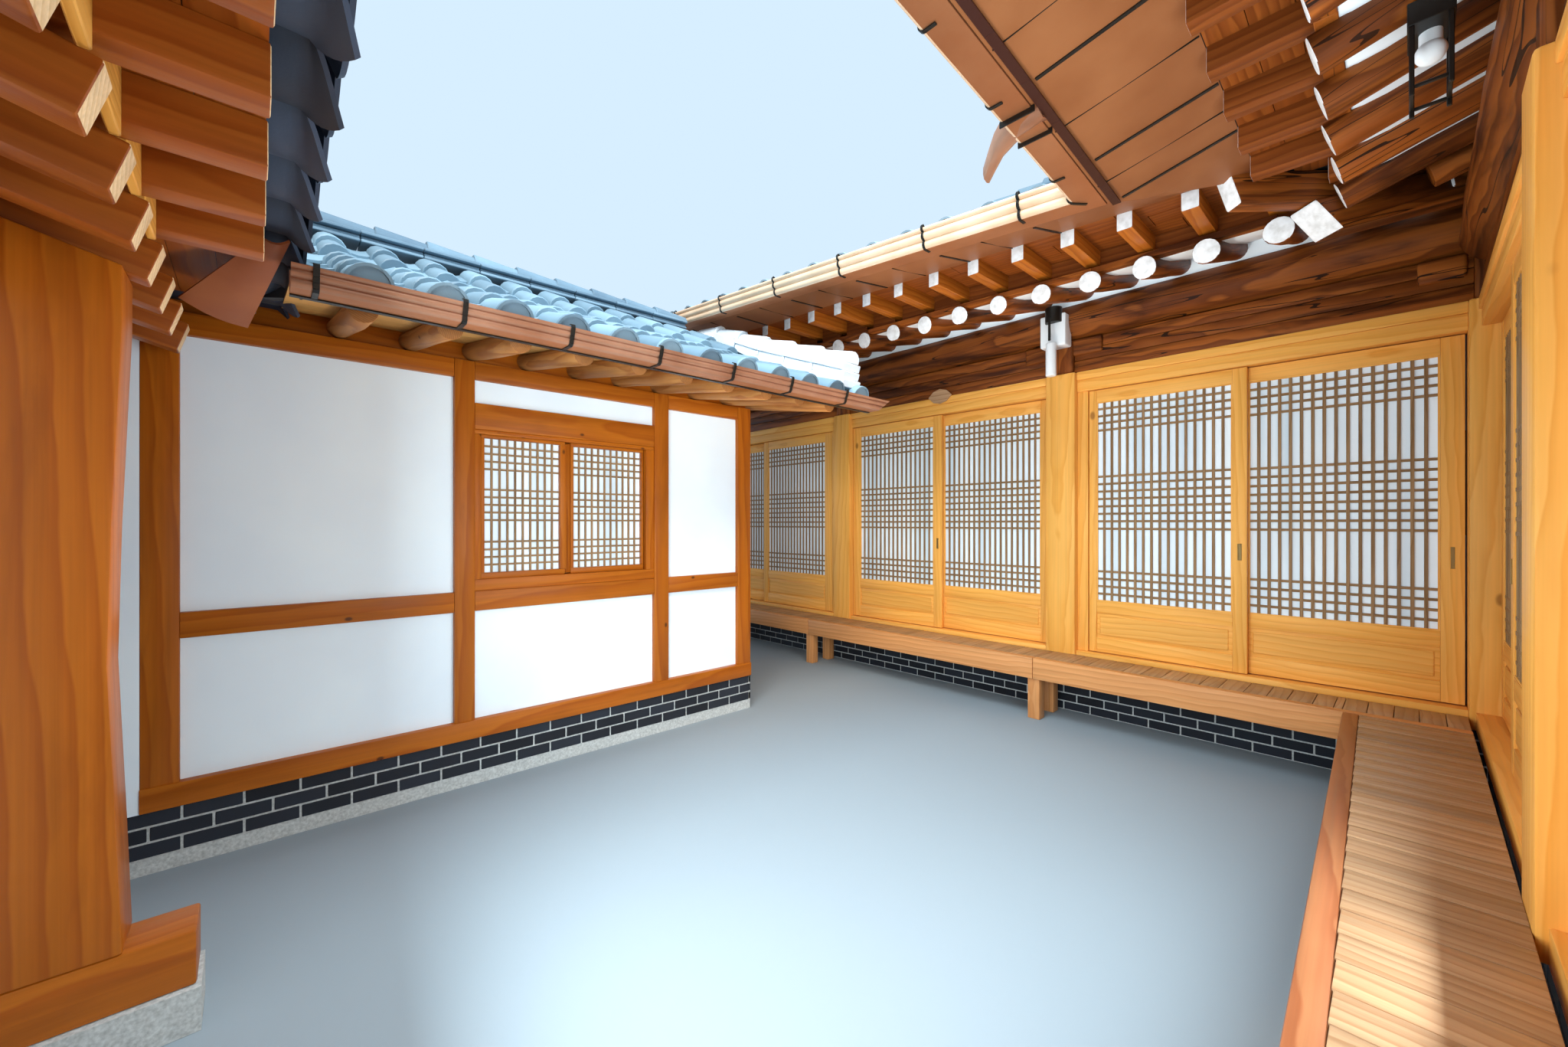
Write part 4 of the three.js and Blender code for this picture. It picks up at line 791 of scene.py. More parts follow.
def growCrooked(cuts, swell):  # round timbers keep the trunk's swells and bends
    piece = bpy.context.object
    bpy.ops.mesh.select_mode(type="EDGE")
    bpy.ops.mesh.select_all(action="DESELECT")
    shape = bmesh.from_edit_mesh(piece.data)
    for edge in shape.edges:
        edge.select_set(edge.calc_length() > 0.5)
    bmesh.update_edit_mesh(piece.data)
    bpy.ops.mesh.subdivide(number_cuts=cuts)
    bpy.ops.object.mode_set(mode="OBJECT")
    points = pointsOf(piece)
    bends = [swell * noise.noise_vector(Vector(p) * 3.1) + 0.4 * swell * noise.noise_vector(Vector(p) * 11.0)
             for p in points]
    movePoints(piece, points + np.array([tuple(bend) for bend in bends]))


def flyingEnds(slope, s):  # heights of a square rafter's middle at its tip and at its root
    tip = flying["tipZ"] + flying["lift"] * capped(s)
    seat = rafterAxis(slope, s)(flying["root"]) + rafter["radius"] + flying["high"] / 2 - flying["sunk"]
    return tip, min(tip, seat)


def buildRafters(name, slope):
    spot, tip = slope["spot"], slope["tip"]
    stands = [name + "_rafters"]
    for part, hidden in (("_logs", False), ("_valley_logs", True)):
        places = [p for p in rafterPlaces(slope) if (slope["lean"] < 0 and p[1] > tip + 0.05) == hidden]
        if not places:
            continue
        startPiece(name + part)
        for s, start, stop in places:
            axis = rafterAxis(slope, s)
            addLog((*spot(s, start), axis(start)), (*spot(s, stop), axis(stop)), rafter["radius"])
        roundEdges(0.005)
        growCrooked(7, 0.008)
        endPiece([oldPine] if hidden else [oldPine, limePaint], "old_pine", stands=stands,
                 ends=None if hidden else slope["out"])

    if slope["lean"] < 0:
        startPiece(name + "_flying")
        for s, start, stop in rafterPlaces(slope):
            begin = max(slope["flying"], flying["clear"] - s)
            if flying["root"] - begin < flying["least"]:
                continue
            z, root = flyingEnds(slope, s)
            addStick((*spot(s, begin), z), (*spot(s, flying["root"]), root), flying["wide"], flying["high"])
        # the right wing's square rafters take the darker pine: painted shade on their sides
        endPiece([flyingPine if name == "back_front" else paintedShadePine, limePaint], "old_pine", stands=stands,
                 edge=0.004, ends=slope["out"], least=0.9)
    # the boards along the rafters' tips, in short lengths that follow the eave's sweep
    startPiece(name + "_tip_boards")
    low = 0.2 - tip if slope["lean"] < 0 else tip + 0.2
    knots = [low + (slope["end"] - 0.04 - low) * k / 7 for k in range(8)]
    line = [(*spot(s, tip + 0.04), rafterAxis(slope, s)(tip) + rafter["radius"] + 0.007) for s in knots]
    addPath(line, 0.06, 0.038)
    endPiece([oldPine], "old_pine", stands=stands, edge=0.003, facets=1)


for slopeName, slopeSpec in slopes.items():
    buildRafters(slopeName, slopeSpec)


# The valley rafters under the inner corner, the hip rafter under the outer one
def buildDiagonals():
    corner = lambda t: (eaveCorner[0] + t, eaveCorner[1] + t)
    under = lambda t: lowAxis(t) + rafterHalfHigh
    startPiece("valley_rafters")
    a, b = 0.565, 2.88
    addStick((*corner(1.0), under(1.0) - 0.0532), (*corner(b), under(b) - 0.0532), 0.18, 0.1)
    addStick((*corner(a), under(a) - 0.074), (*corner(1.30), under(1.30) - 0.074), 0.16, 0.148)
    addStick((*corner(0.28), 3.168), (*corner(1.02), 3.168), 0.10, 0.156)
    roundEdges(0.012, 3)
    bpy.ops.object.mode_set(mode="OBJECT")
    piece = bpy.context.object
    # both lower ends are cut slanting, their tops longest
    points = pointsOf(piece)
    along = (points[:, 0] - survey.x - eaveCorner[0] + points[:, 1] - survey.y - eaveCorner[1]) / 2
    for place, top, lean in ((0.28, 3.246, 0.26), (a, under(a), 0.5)):
        end = abs(along - place) < 0.06
        points[end, :2] += (lean * (top - points[end, 2]))[:, None]
    movePoints(piece, points)
    endPiece([oldPine, limePaint], "old_pine", stands=["valley_beam"], ends=(-0.7071, -0.7071, 0), least=0.5)
    paintNode("hip_beam", oldPine)


buildDiagonals()


def buildPurlins():
    startPiece("purlins")
    rightZ = lowAxis(rightSeat) - (0.217 + rafter["touch"]) * math.hypot(1, lowGrade)
    addLog((-6.89, 4.88, 3.11), (0.35, 4.88, 3.11), 0.15, 32)
    addLog((0.32, -0.54, rightZ), (0.32, 4.7297, rightZ), 0.15, 32)
    roundEdges(0.01)
    growCrooked(23, 0.009)
    endPiece([oldPine], "old_pine", stands=["back_front_purlin", "right_inner_purlin"])


buildPurlins()
print("rafters ready")


def shapeBlock(name, cuts, place):
    # a block cut into a fine grid, whose points (u, v, w) from 0 to 1 each go to their own place
    bpy.ops.object.select_all(action="DESELECT")
    bpy.ops.mesh.primitive_cube_add(size=1, location=(0.5, 0.5, 0.5))
    piece = bpy.context.object
    piece.name = name
    bpy.ops.object.transform_apply(location=True)
    bpy.ops.object.mode_set(mode="EDIT")
    bpy.ops.mesh.subdivide(number_cuts=cuts)
    bpy.ops.object.mode_set(mode="OBJECT")
    movePoints(piece, np.array([tuple(survey + Vector(place(*point))) for point in pointsOf(piece)]))
    bpy.ops.object.mode_set(mode="EDIT")
    bpy.ops.mesh.select_all(action="SELECT")
    bpy.ops.mesh.normals_make_consistent(inside=False)


def addSheet(across, along, place):  # an open sheet whose points (u, v) from 0 to 1 go to their own place
    bpy.ops.mesh.primitive_grid_add(x_subdivisions=across, y_subdivisions=along, size=1,
                                    location=(0.5, 0.5, 0))
    shape = bmesh.from_edit_mesh(bpy.context.object.data)
    for point in shape.verts:
        if point.select:
            point.co = survey + Vector(place(point.co.x, point.co.y))
    bmesh.update_edit_mesh(bpy.context.object.data)


def thicken(thick, offset=-1.0):  # gives open sheets a thickness, with all faces outwards
    piece = bpy.context.object
    if piece.mode == "EDIT":
        bpy.ops.mesh.select_all(action="SELECT")
        bpy.ops.mesh.normals_make_consistent(inside=False)
        bpy.ops.object.mode_set(mode="OBJECT")
    solid = piece.modifiers.new("thickness", "SOLIDIFY")
    solid.thickness = thick
    solid.offset = offset
    bpy.ops.object.modifier_apply(modifier=solid.name)


def repeatMesh(name, master, places):  # one mesh with a copy of the master at each place; the master goes
    base = pointsOf(master)
    faces = [list(face.vertices) for face in master.data.polygons]
    flat = np.concatenate([base, np.ones((len(base), 1))], axis=1)
    points, loops = [], []
    for k, place in enumerate(places):
        points.append(flat @ np.array(place).T[:, :3])
        loops += [[v + k * len(base) for v in face] for face in faces]
    mesh = bpy.data.meshes.new(name)
    mesh.from_pydata(np.concatenate(points).tolist(), [], loops)
    piece = bpy.data.objects.new(name, mesh)
    bpy.context.collection.objects.link(piece)
    bpy.ops.object.select_all(action="DESELECT")
    bpy.context.view_layer.objects.active = piece
    piece.select_set(True)
    bpy.data.objects.remove(master, do_unlink=True)


# Tile shapes: x runs up the roof from the tile's lower end, y across it, z off it
tile = {"pitch": 0.29, "long": 0.33, "step": 0.285, "radius": 0.078, "panStep": 0.19, "panWide": 0.26,
        "panLong": 0.30, "panThick": 0.014, "dish": 0.045, "bed": 0.1, "end": 0.022, "endRadius": 0.084}


def coverTile():  # the half-round tile that covers the joint, wider at its lower end
    bpy.ops.object.select_all(action="DESELECT")
    bpy.ops.mesh.primitive_cylinder_add(vertices=14, radius=tile["radius"], depth=tile["long"],
                                        rotation=(0, math.radians(90), 0))
    master = bpy.context.object
    bpy.ops.object.transform_apply(rotation=True)
    bpy.ops.object.mode_set(mode="EDIT")
    bpy.ops.mesh.select_all(action="SELECT")
    bpy.ops.mesh.bisect(plane_co=(0, 0, -0.012), plane_no=(0, 0, -1), use_fill=True, clear_outer=True)
    roundEdges(0.006, 1, 60)
    bpy.ops.object.mode_set(mode="OBJECT")
    points = pointsOf(master)
    share = 0.5 - points[:, 0] / tile["long"]
    points[:, 1] *= 0.9 + 0.13 * share
    points[:, 2] = points[:, 2] * (0.9 + 0.13 * share) + 0.016 * share
    points[:, 0] += tile["long"] / 2
    movePoints(master, points)
    return master


def panTile():  # the shallow tile between two covers
    bpy.ops.object.select_all(action="DESELECT")
    bpy.ops.mesh.primitive_grid_add(x_subdivisions=1, y_subdivisions=6, size=1)
    master = bpy.context.object
    points = pointsOf(master)
    y = points[:, 1] * 2
    points[:, 2] = tile["dish"] * y * y + tile["panThick"] * (0.5 - points[:, 0])
    points[:, 1] = y * tile["panWide"] / 2
    points[:, 0] = (points[:, 0] + 0.5) * tile["panLong"]
    movePoints(master, points)
    bpy.ops.object.mode_set(mode="EDIT")
    thicken(tile["panThick"], 1.0)
    return master


def endDisc():  # the round face that closes a row of covers at the eave: a raised rim and a low boss
    bpy.ops.object.select_all(action="DESELECT")
    bpy.ops.mesh.primitive_cylinder_add(vertices=20, radius=tile["endRadius"], depth=tile["end"],
                                        rotation=(0, math.radians(90), 0))
    master = bpy.context.object
    bpy.ops.object.transform_apply(rotation=True)
    bpy.ops.object.mode_set(mode="EDIT")
    bpy.ops.mesh.select_mode(type="FACE")
    for inset, deep in ((0.012, -0.007), (0.03, 0.0), (0.006, 0.005)):
        shape = bmesh.from_edit_mesh(master.data)
        shape.faces.ensure_lookup_table()
        for face in shape.faces:
            face.select_set(False)
        front = min((f for f in shape.faces if f.normal.x < -0.9), key=lambda f: f.calc_area())
        front.select_set(True)
        bmesh.update_edit_mesh(master.data)
        bpy.ops.mesh.inset(thickness=inset)
        bpy.ops.mesh.extrude_region_move(TRANSFORM_OT_translate={"value": (-deep, 0, 0)})
    bpy.ops.object.mode_set(mode="OBJECT")
    points = pointsOf(master)
    points[:, 2] += 0.012
    movePoints(master, points)
    return master


def dropApron(lean=0.012, deep=0.075, wide=0.12, point=0.035):
    # the curved drip plate under the lowest pan tile, between two discs
    bpy.ops.object.select_all(action="DESELECT")
    bpy.ops.mesh.primitive_grid_add(x_subdivisions=3, y_subdivisions=8, size=1)
    master = bpy.context.object
    points = pointsOf(master)
    y, down = points[:, 1] * 2, points[:, 0] + 0.5
    points[:, 1] = y * wide
    points[:, 2] = tile["dish"] * y * y + 0.006 - down * (deep - point * y * y)
    points[:, 0] = -lean * down * (1 - 0.35 * y * y)
    movePoints(master, points)
    bpy.ops.object.mode_set(mode="EDIT")
    thicken(tile["panThick"], 1.0)
    return master


def frameOf(spot, *axes):  # the matrix that stands a tile at a spot, along its own three axes
    matrix = Matrix(axes).transposed().to_4x4()
    matrix.translation = survey + spot
    return matrix


def slopeFrame(place, s, t):  # stands a tile on the roof: x up the slope, y across, z off it
    up = (Vector(place(s, t + 0.02)) - Vector(place(s, t - 0.02))).normalized()
    side = (Vector(place(s + 0.02, t)) - Vector(place(s - 0.02, t))).normalized()
    out = up.cross(side).normalized()
    if out.z < 0:
        out = -out
    side = out.cross(up).normalized()
    return frameOf(Vector(place(s, t)), up, side, out)


def slopeRun(place, s, low, high, step):  # a row of tiles up the slope, step or a little more apart
    count = max(1, round((high - low) / step))
    return [slopeFrame(place, s, low + (high - low) * k / count) for k in range(count)]


def layTiles(name, place, rows, top, clay, slotName="grey_tile", steps=None, apron=None):
    # rows: (s, lower t, upper t) of each row of covers; pans lie half a pitch further
    coverStep, panStep = steps or (tile["step"], tile["panStep"])
    between = [tuple((a + b) / 2 for a, b in zip(row, after)) for row, after in zip(rows, rows[1:])]
    covers = [frame for row in rows for frame in slopeRun(place, *row, coverStep)]
    pans = [frame for row in between for frame in slopeRun(place, *row, panStep)]
    ends = [slopeFrame(place, s, low) for s, low, high in rows if low <= top]
    drops = [slopeFrame(place, s, low) for s, low, high in between if low <= top]
    drip = lambda: dropApron(**(apron or {}))
    for kind, maker, places in (("covers", coverTile, covers), ("pans", panTile, pans),
                                ("discs", endDisc, ends), ("drips", drip, drops)):
        if places:
            repeatMesh(name + "_" + kind, maker(), places)
            endPiece([clay], slotName, smooth=40)


def buildTallSlope(name, slope):
    lean, end = slope["lean"], slope["end"]
    edge = -courtEave["out"] if lean < 0 else 0.0
    bed = lambda s, t: (*slope["spot"](s, t), tallTop(slope, s, t) - tile["bed"])

    def place(u, v, w):
        t = edge + v * (roofHalf - edge)
        s = lean * t + (end - lean * t) * u
        low, high = tallUnder(slope, s, t), tallTop(slope, s, t) - tile["bed"]
        if lean < 0 and t < 0:
            low += (courtEave["bedUnder"] - courtEave["under"]) * t / edge
        return (*slope["spot"](s, t), low + (high - low) * w)

    shapeBlock(name + "_bed", 15, place)
    endPiece([clayBed], "grey_tile", stands=[name + "_roof"])
    rows = []
    s = (0.18 if lean < 0 else 0.3) - 20 * tile["pitch"]
    while s < end - 0.08:
        low = max(0.02 + edge, -s + 0.12) if lean < 0 else 0.02
        high = 2.84 if lean < 0 else min(2.84, s - 0.1)
        if high - low > 0.25:
            rows.append((s, low, high))
        s += tile["pitch"]
    layTiles(name, bed, rows, edge + 0.05, greyClay)


for slopeName, slopeSpec in slopes.items():
    buildTallSlope(slopeName, slopeSpec)


def capRow(start, stop, radius):  # places of half-round tiles along a ridge
    start, stop = Vector(start), Vector(stop)
    along = (stop - start).normalized()
    side = Vector((0, 0, 1)).cross(along).normalized()
    out = along.cross(side)
    count = max(1, round((stop - start).length / tile["pitch"]))
    large = radius / tile["radius"]
    return [frameOf(start + (stop - start) * k / count, along, side * large, out * large)
            for k in range(count)]


def buildRidge(name, start, stop, half, courses, high, clay, slotName="grey_tile"):
    # from start to stop at the ridge's foot: flat courses, then a row of half-round caps
    start, stop = Vector(start), Vector(stop)
    startPiece(name + "_courses")
    step = high / courses
    tiles = max(1, round((stop - start).length / 0.34))
    for k in range(courses):
        wide = 2 * (half - (0.018 if k % 2 else 0.0)) + (0.03 if k == courses - 1 else 0.0)
        begin = start + Vector((0, 0, step * (k + 0.5)))
        for j in range(tiles):
            a, b = (begin + (stop - start) * (j + e) / tiles for e in (0.006, 0.994))
            addStick(a, b, wide, step * 0.86)
    endPiece([clay], slotName, stands=[name], edge=0.005, facets=1)
    up = Vector((0, 0, high))
    repeatMesh(name + "_caps", coverTile(), capRow(start + up, stop + up, half * 0.72))
    endPiece([clay], slotName)


buildRidge("back_ridge", (-6.95, 6.30, ridgeFoot), (1.90, 6.30, ridgeFoot), 0.15, 5, 0.2, ridgeClay)
buildRidge("right_ridge", (2.05, -0.60, ridgeFoot), (2.05, 6.44, ridgeFoot), 0.15, 5, 0.2, ridgeClay)
print("tall roof ready")


# Gutters: a copper channel with two rolled mouldings, pulled along the eave
def pullAlong(name, stations):
    # stations: the same closed outline at each place along the way
    startPiece(name)
    data = bpy.context.object.data
    bpy.ops.mesh.primitive_circle_add(vertices=len(stations[0]), fill_type="NGON", radius=1)
    bpy.ops.mesh.select_mode(type="FACE")
    bpy.ops.mesh.select_all(action="SELECT")
    shape = bmesh.from_edit_mesh(data)
    shape.verts.ensure_lookup_table()
    for vertex, spot in zip(shape.verts, stations[0]):
        vertex.co = survey + Vector(spot)
    bmesh.update_edit_mesh(data)
    for before, after in zip(stations, stations[1:]):
        bpy.ops.mesh.extrude_region_move()
        shape = bmesh.from_edit_mesh(data)
        old = [survey + Vector(spot) for spot in before]
        for vertex in shape.verts:
            if vertex.select:
                k = min(range(len(old)), key=lambda j: (old[j] - vertex.co).length_squared)
                vertex.co = survey + Vector(after[k])
        bmesh.update_edit_mesh(data)
    bpy.ops.mesh.select_all(action="SELECT")
    bpy.ops.mesh.normals_make_consistent(inside=False)


gutter = {
    "section": [(0, 0), (0.118, 0), (0.127, 0.003), (0.134, 0.012), (0.137, 0.026), (0.134, 0.039),
                (0.128, 0.046), (0.136, 0.051), (0.147, 0.060), (0.151, 0.075), (0.147, 0.090),
                (0.140, 0.097), (0.148, 0.101), (0.155, 0.108), (0.157, 0.117), (0.152, 0.124),
                (0.143, 0.125), (0.116, 0.007), (0.006, 0.006), (0.006, 0.146), (0, 0.146)],
    "under": 3.112, "strip": 0.038, "face": 16,
    "straps": {"back_gutter": [0.515, 1.12, 1.82, 2.51, 3.23, 3.95, 4.65, 5.35],
               "right_gutter": [0.10, 0.47, 1.09, 1.57, 2.2, 2.8, 3.4]},
}


def gutterSpot(slope, s, out, up):  # s is cut back to the mitre at the inner corner
    beyond = courtEave["out"] + out + 0.0004
    s = max(s, beyond)
    return (*slope["spot"](s, -beyond), gutter["under"] + eaveLift(slope, s) + up)


def buildGutter(name, slope):
    steps = 14
    pullAlong(name + "_channel", [[gutterSpot(slope, slope["end"] * k / steps, out, up)
                                   for out, up in gutter["section"]] for k in range(steps + 1)])
    # faces turned out from the house take the pale copper: a painted highlight on the mouldings
    endPiece([agedCopper, paintedHighlightCopper], "copper", stands=[name], grain=False, smooth=50, ends=slope["out"],
             least=0.15)

    # a dark strip along the inner side of the bottom, shown along the entrance side only
    if name == "right_gutter":
        startPiece(name + "_strip")
        knots = [max(0.09, slope["end"] * k / steps) for k in range(steps + 1)]
        addPath([(*slope["spot"](s, -0.083), gutter["under"] + eaveLift(slope, s) + 0.004) for s in knots],
                gutter["strip"], 0.007)
        endPiece([darkStrip], "copper", grain=False, edge=0.001, facets=1)
    # straps: a hook over the rim, a flat bar down the mouldings
    startPiece(name + "_straps")
    face = [(o + 0.0035, u) for o, u in gutter["section"][2:gutter["face"] - 1]]
    bends = [(0.070, -0.003), (0.121, -0.003), *face, (0.158, 0.132), (0.148, 0.142), (0.136, 0.132)]
    for s in gutter["straps"][name]:
        addPath([gutterSpot(slope, s, o, u) for o, u in bends], 0.016, 0.005)
    endPiece([blackIron], "copper", grain=False, edge=0.001, facets=1)


def flyingTop(slope, s, t):  # top of the square rafters, which dip slightly towards the wall
    tip, root = flyingEnds(slope, s)
    share = (t - slope["flying"]) / (flying["root"] - slope["flying"])
    return tip + (root - tip) * share + flying["high"] / 2


def buildSoffit(name, slope, gutterName):
    spot, tip, fly = slope["spot"], slope["tip"], slope["flying"]

    # copper panels from the gutter up to the tops of the square rafters' tips
    def panelSpot(s, v):
        t = -courtEave["out"] + 0.002 + (fly + courtEave["out"] - 0.004) * v
        s = max(s, -t)
        outer = gutter["under"] + eaveLift(slope, max(0.0, s)) + 0.009
        return (*spot(s, t), outer * (1 - v) + (flyingTop(slope, s, fly) - 0.003) * v)

    straps = gutter["straps"][gutterName]
    seams = sorted([-fly] + straps + [slope["end"] - 0.02])
    startPiece(name + "_soffit")
    for s0, s1 in zip(seams, seams[1:]):
        def place(u, v, s0=s0, s1=s1):
            x, y, z = panelSpot(s0 + (s1 - s0) * u, v)
            return (x, y, z - 0.006 * math.sin(math.pi * u) * math.sin(math.pi * v))
        addSheet(8, 4, place)
    thicken(0.003)
    endPiece([soffitCopper], "copper", grain=False, smooth=50)
    # folded seams under the straps, and a thin lap halfway between them
    startPiece(name + "_seams")
    laps = [(a + b) / 2 for a, b in zip(straps, straps[1:])]
    for spots, wide, first, under in ((straps, 0.016, 0.12, 0.005), (laps, 0.004, 0.02, 0.006)):
        for s in spots:
            line = [panelSpot(s, first + (0.995 - first) * k / 4) for k in range(5)]
            addPath([(x, y, z - under) for x, y, z in line], wide, 0.007)
    endPiece([blackIron], "copper", grain=False, edge=0.001, facets=1)

    # boards over the square rafters, running with the eave, and upright boards that close them at the back;
    # both in the darker pine, painted shade of the recess
    startPiece(name + "_eave_boards")
    count = 12
    closing = tip + 0.088
    for j in range(3):
        t0, t1 = (fly + (closing - fly) * (j + e) / 3 for e in (0.01, 0.99))
        for k in range(count):
            s0, s1 = (-t0 + (slope["end"] - 0.03 + t0) * (k + e) / count for e in (0.004, 0.996))
            def place(u, v, s0=s0, s1=s1, t0=t0, t1=t1):
                s, t = s0 + (s1 - s0) * u, t0 + (t1 - t0) * v
                return (*spot(max(s, -t), t), flyingTop(slope, max(s, 0.0), t) + 0.0015)
            addSheet(1, 1, place)
    thicken(0.012, 0.0)
    endPiece([paintedShadePine], "old_pine")
    startPiece(name + "_closing_boards")
    places = [s for s, start, stop in rafterPlaces(slope) if s > flying["clear"] - slope["flying"] - 0.25]
    places = [-closing] + places + [slope["end"] - 0.02]
    for s0, s1 in zip(places, places[1:]):
        a0, a1 = (s0 + flying["wide"] / 2 - 0.002, s1 - flying["wide"] / 2 + 0.002)
        if a1 - a0 < 0.04:
            continue
        middle = max(0.0, (a0 + a1) / 2)
        low = rafterAxis(slope, middle)(closing) + rafter["radius"] * 0.6
        high = flyingTop(slope, middle, closing) + 0.002
        addPath([(*spot(a, closing), (low + high) / 2) for a in (a0, a1)], 0.014, high - low)
    endPiece([paintedShadePine], "old_pine", edge=0.002, facets=1)

    # white plaster between the round rafters, hollow between two logs, turned down to the purlin behind
    startPiece(name + "_plaster")
    places = [(s, start) for s, start, stop in rafterPlaces(slope)]
    foot = slope["seat"] - 0.088
    for (s0, start0), (s1, start1) in zip(places, places[1:]):
        low = max(start0, start1, tip) + 0.035
        if foot - low < 0.15:
            continue
        def place(u, v, s0=s0, s1=s1, low=low):
            s = s0 + (s1 - s0) * u
            flat, drop = min(1.0, v / 0.75), max(0.0, (v - 0.75) / 0.25)
            t = low + (foot - 0.03 - low) * flat + 0.03 * drop
            hollow = 0.05 + 0.35 * math.sin(math.pi * u) ** 0.6
            high = hollow + (0.84 - hollow) * max(0.0, 1 - v / 0.3) ** 2
            level = rafterAxis(slope, s)(t) + rafter["radius"] * high
            return (*spot(s, t), level * (1 - drop) + (rafter["purlinZ"] + 0.118) * drop)
        addSheet(8, 8, place)
    thicken(0.006, 0.0)
    endPiece([limePlaster], "plaster", grain=False, smooth=60)


courtEaves = (("back_front", "back_gutter"), ("right_inner", "right_gutter"))
for slopeName, gutterName in courtEaves:
    buildGutter(gutterName, slopes[slopeName])
for slopeName, gutterName in courtEaves:
    buildSoffit(slopeName, slopes[slopeName], gutterName)
print("gutters and soffits ready")


# Porches: short planks across, a front beam, square posts
porch = {"top": 0.47, "plank": 0.04, "beamHigh": 0.16, "post": 0.09, "gap": 0.003, "widths": (0.085, 0.135),
         "left": -6.0, "right": 0.2057, "front": 4.40, "rear": 4.7657, "near": -0.5597, "far": 4.3997}


def porchFront(y):  # the right porch's front edge leans in towards the entrance
    return -0.258 + 0.136 * (porch["front"] - y) / (porch["front"] - porch["near"])


def buildPorches():
    top, gap, right, rear = (porch[key] for key in ("top", "gap", "right", "rear"))
    near, far = porch["near"], porch["far"]
    under = top - porch["plank"]
    startPiece("back_porch_planks")
    start = porch["front"] + 0.061
    x = porch["left"]
    while x < -0.262:  # up to the corner with the right porch
        wide = min(rng.uniform(*porch["widths"]), -0.26 - x)
        if wide > 0.03:
            low = under + rng.uniform(0, 0.001)
            addBoard((x, start, low), (x + wide - gap, rear, top - rng.uniform(0, 0.0015)))
        x += wide
        if wide <= 0.03:
            break
    while x < right:
        wide = min(rng.uniform(*porch["widths"]), right - x)
        addBoard((x, start, under), (x + wide - gap, rear, top - rng.uniform(0, 0.0015)))
        x += max(wide, 0.03)
    endPiece([porchPine], "porch_pine", stands=["back_porch"], edge=0.003)
    startPiece("back_porch_frame")
    for x0, x1 in ((porch["left"], -4.402), (-4.398, -1.972), (-1.968, right)):
        addBoard((x0, porch["front"], top - porch["beamHigh"]), (x1, porch["front"] + 0.06, top))
    addBoard((porch["left"], rear - 0.06, under - 0.06), (right, rear, under))
    for x in (-5.9, -4.4, -1.97):
        for y in (porch["front"] + 0.02, rear - porch["post"]):
            addBoard((x - porch["post"] / 2, y, 0), (x + porch["post"] / 2, y + porch["post"], under))
    endPiece([sunnyPine], "porch_pine", stands=["back_porch"], edge=0.005)

    startPiece("right_porch_planks")
    y = -0.5595
    while y < 4.397:
        wide = min(rng.uniform(*porch["widths"]), 4.3985 - y)
        if wide > 0.02:
            front = porchFront(y + wide / 2) + 0.066
            addBoard((front, y, under), (right, y + wide - gap, top - rng.uniform(0, 0.0015)))
        y += max(wide, 0.02)
    endPiece([porchPine], "porch_pine", stands=["right_porch"], edge=0.003)
    startPiece("right_porch_edge")
    addPath([(porchFront(y) + 0.0325, y, top - porch["beamHigh"] / 2) for y in (near, far)], 0.065,
            porch["beamHigh"])
    endPiece([redPine], "porch_pine", stands=["right_porch"], edge=0.008)
    startPiece("right_porch_frame")
    addBoard((right - 0.06, near, under - 0.06), (right, far, under))
    for y in (-0.41, 2.2, 4.34):
        for x in (porchFront(y) + 0.02, right - porch["post"]):
            addBoard((x, y - porch["post"] / 2, 0), (x + porch["post"], y + porch["post"] / 2, under))
    endPiece([honeyPine], "porch_pine", stands=["right_porch"], edge=0.005)


buildPorches()
print("porches ready")


# Bricks of the bases: each course laid along one face, half a brick over from the course below
brick = {"long": 0.19, "high": 0.057, "joint": 0.01, "proud": 0.005, "deep": 0.02, "least": 0.03}
brickFaces = [  # start, end, way out of the wall, foot, number of courses, base node
    ((-6.704, 4.84), (0.28, 4.84), (0, -1), 0.0, 6, "back_base"),
    ((-6.704, 7.79), (-6.704, 4.84), (-1, 0), 0.0, 6, "back_base"),
    ((3.85, 7.79), (-6.704, 7.79), (0, 1), 0.0, 6, "back_base"),
    ((3.85, -0.034), (3.85, 7.79), (1, 0), 0.0, 6, "right_base"),
    ((0.28, -0.034), (3.85, -0.034), (0, -1), 0.0, 6, "right_base"),
    ((0.28, 4.84), (0.28, -0.034), (-1, 0), 0.0, 6, "right_base"),
    ((-3.655, -0.62), (-3.655, 2.988), (1, 0), 0.07, 3, "left_base"),
    ((-3.655, 2.988), (-5.755, 2.988), (0, 1), 0.07, 3, "left_base"),
    ((-5.755, 2.988), (-5.755, -2.80), (-1, 0), 0.07, 3, "left_base"),
    ((-5.755, -2.80), (-3.655, -2.80), (0, -1), 0.07, 3, "left_base"),
]


def buildBricks(number, start, stop, out, foot, courses, node):
    start, stop, out = Vector((*start, 0)), Vector((*stop, 0)), Vector((*out, 0))
    way = (stop - start).normalized()
    long = (stop - start).length
    step = brick["long"] + brick["joint"]
    startPiece(f"{node}_bricks_{number}")
    for course in range(courses):
        z = foot + brick["joint"] * 0.5 + course * (brick["high"] + brick["joint"])
        edges = [0.0] + [step * (k + (0.5 if course % 2 else 1.0)) for k in range(int(long / step) + 1)]
        for a, b in zip(edges, edges[1:] + [long]):
            b = min(b, long) - brick["joint"]
            if b - a < brick["least"]:
                continue
            p = start + way * a + out * (brick["proud"] - brick["deep"])
            q = start + way * b + out * brick["proud"]
            addBoard((min(p.x, q.x), min(p.y, q.y), z), (max(p.x, q.x), max(p.y, q.y), z + brick["high"]))
    endPiece([darkBrick], "brick", edge=0.002, facets=1)


for number, face in enumerate(brickFaces):
    buildBricks(number, *face)
print("bricks ready")


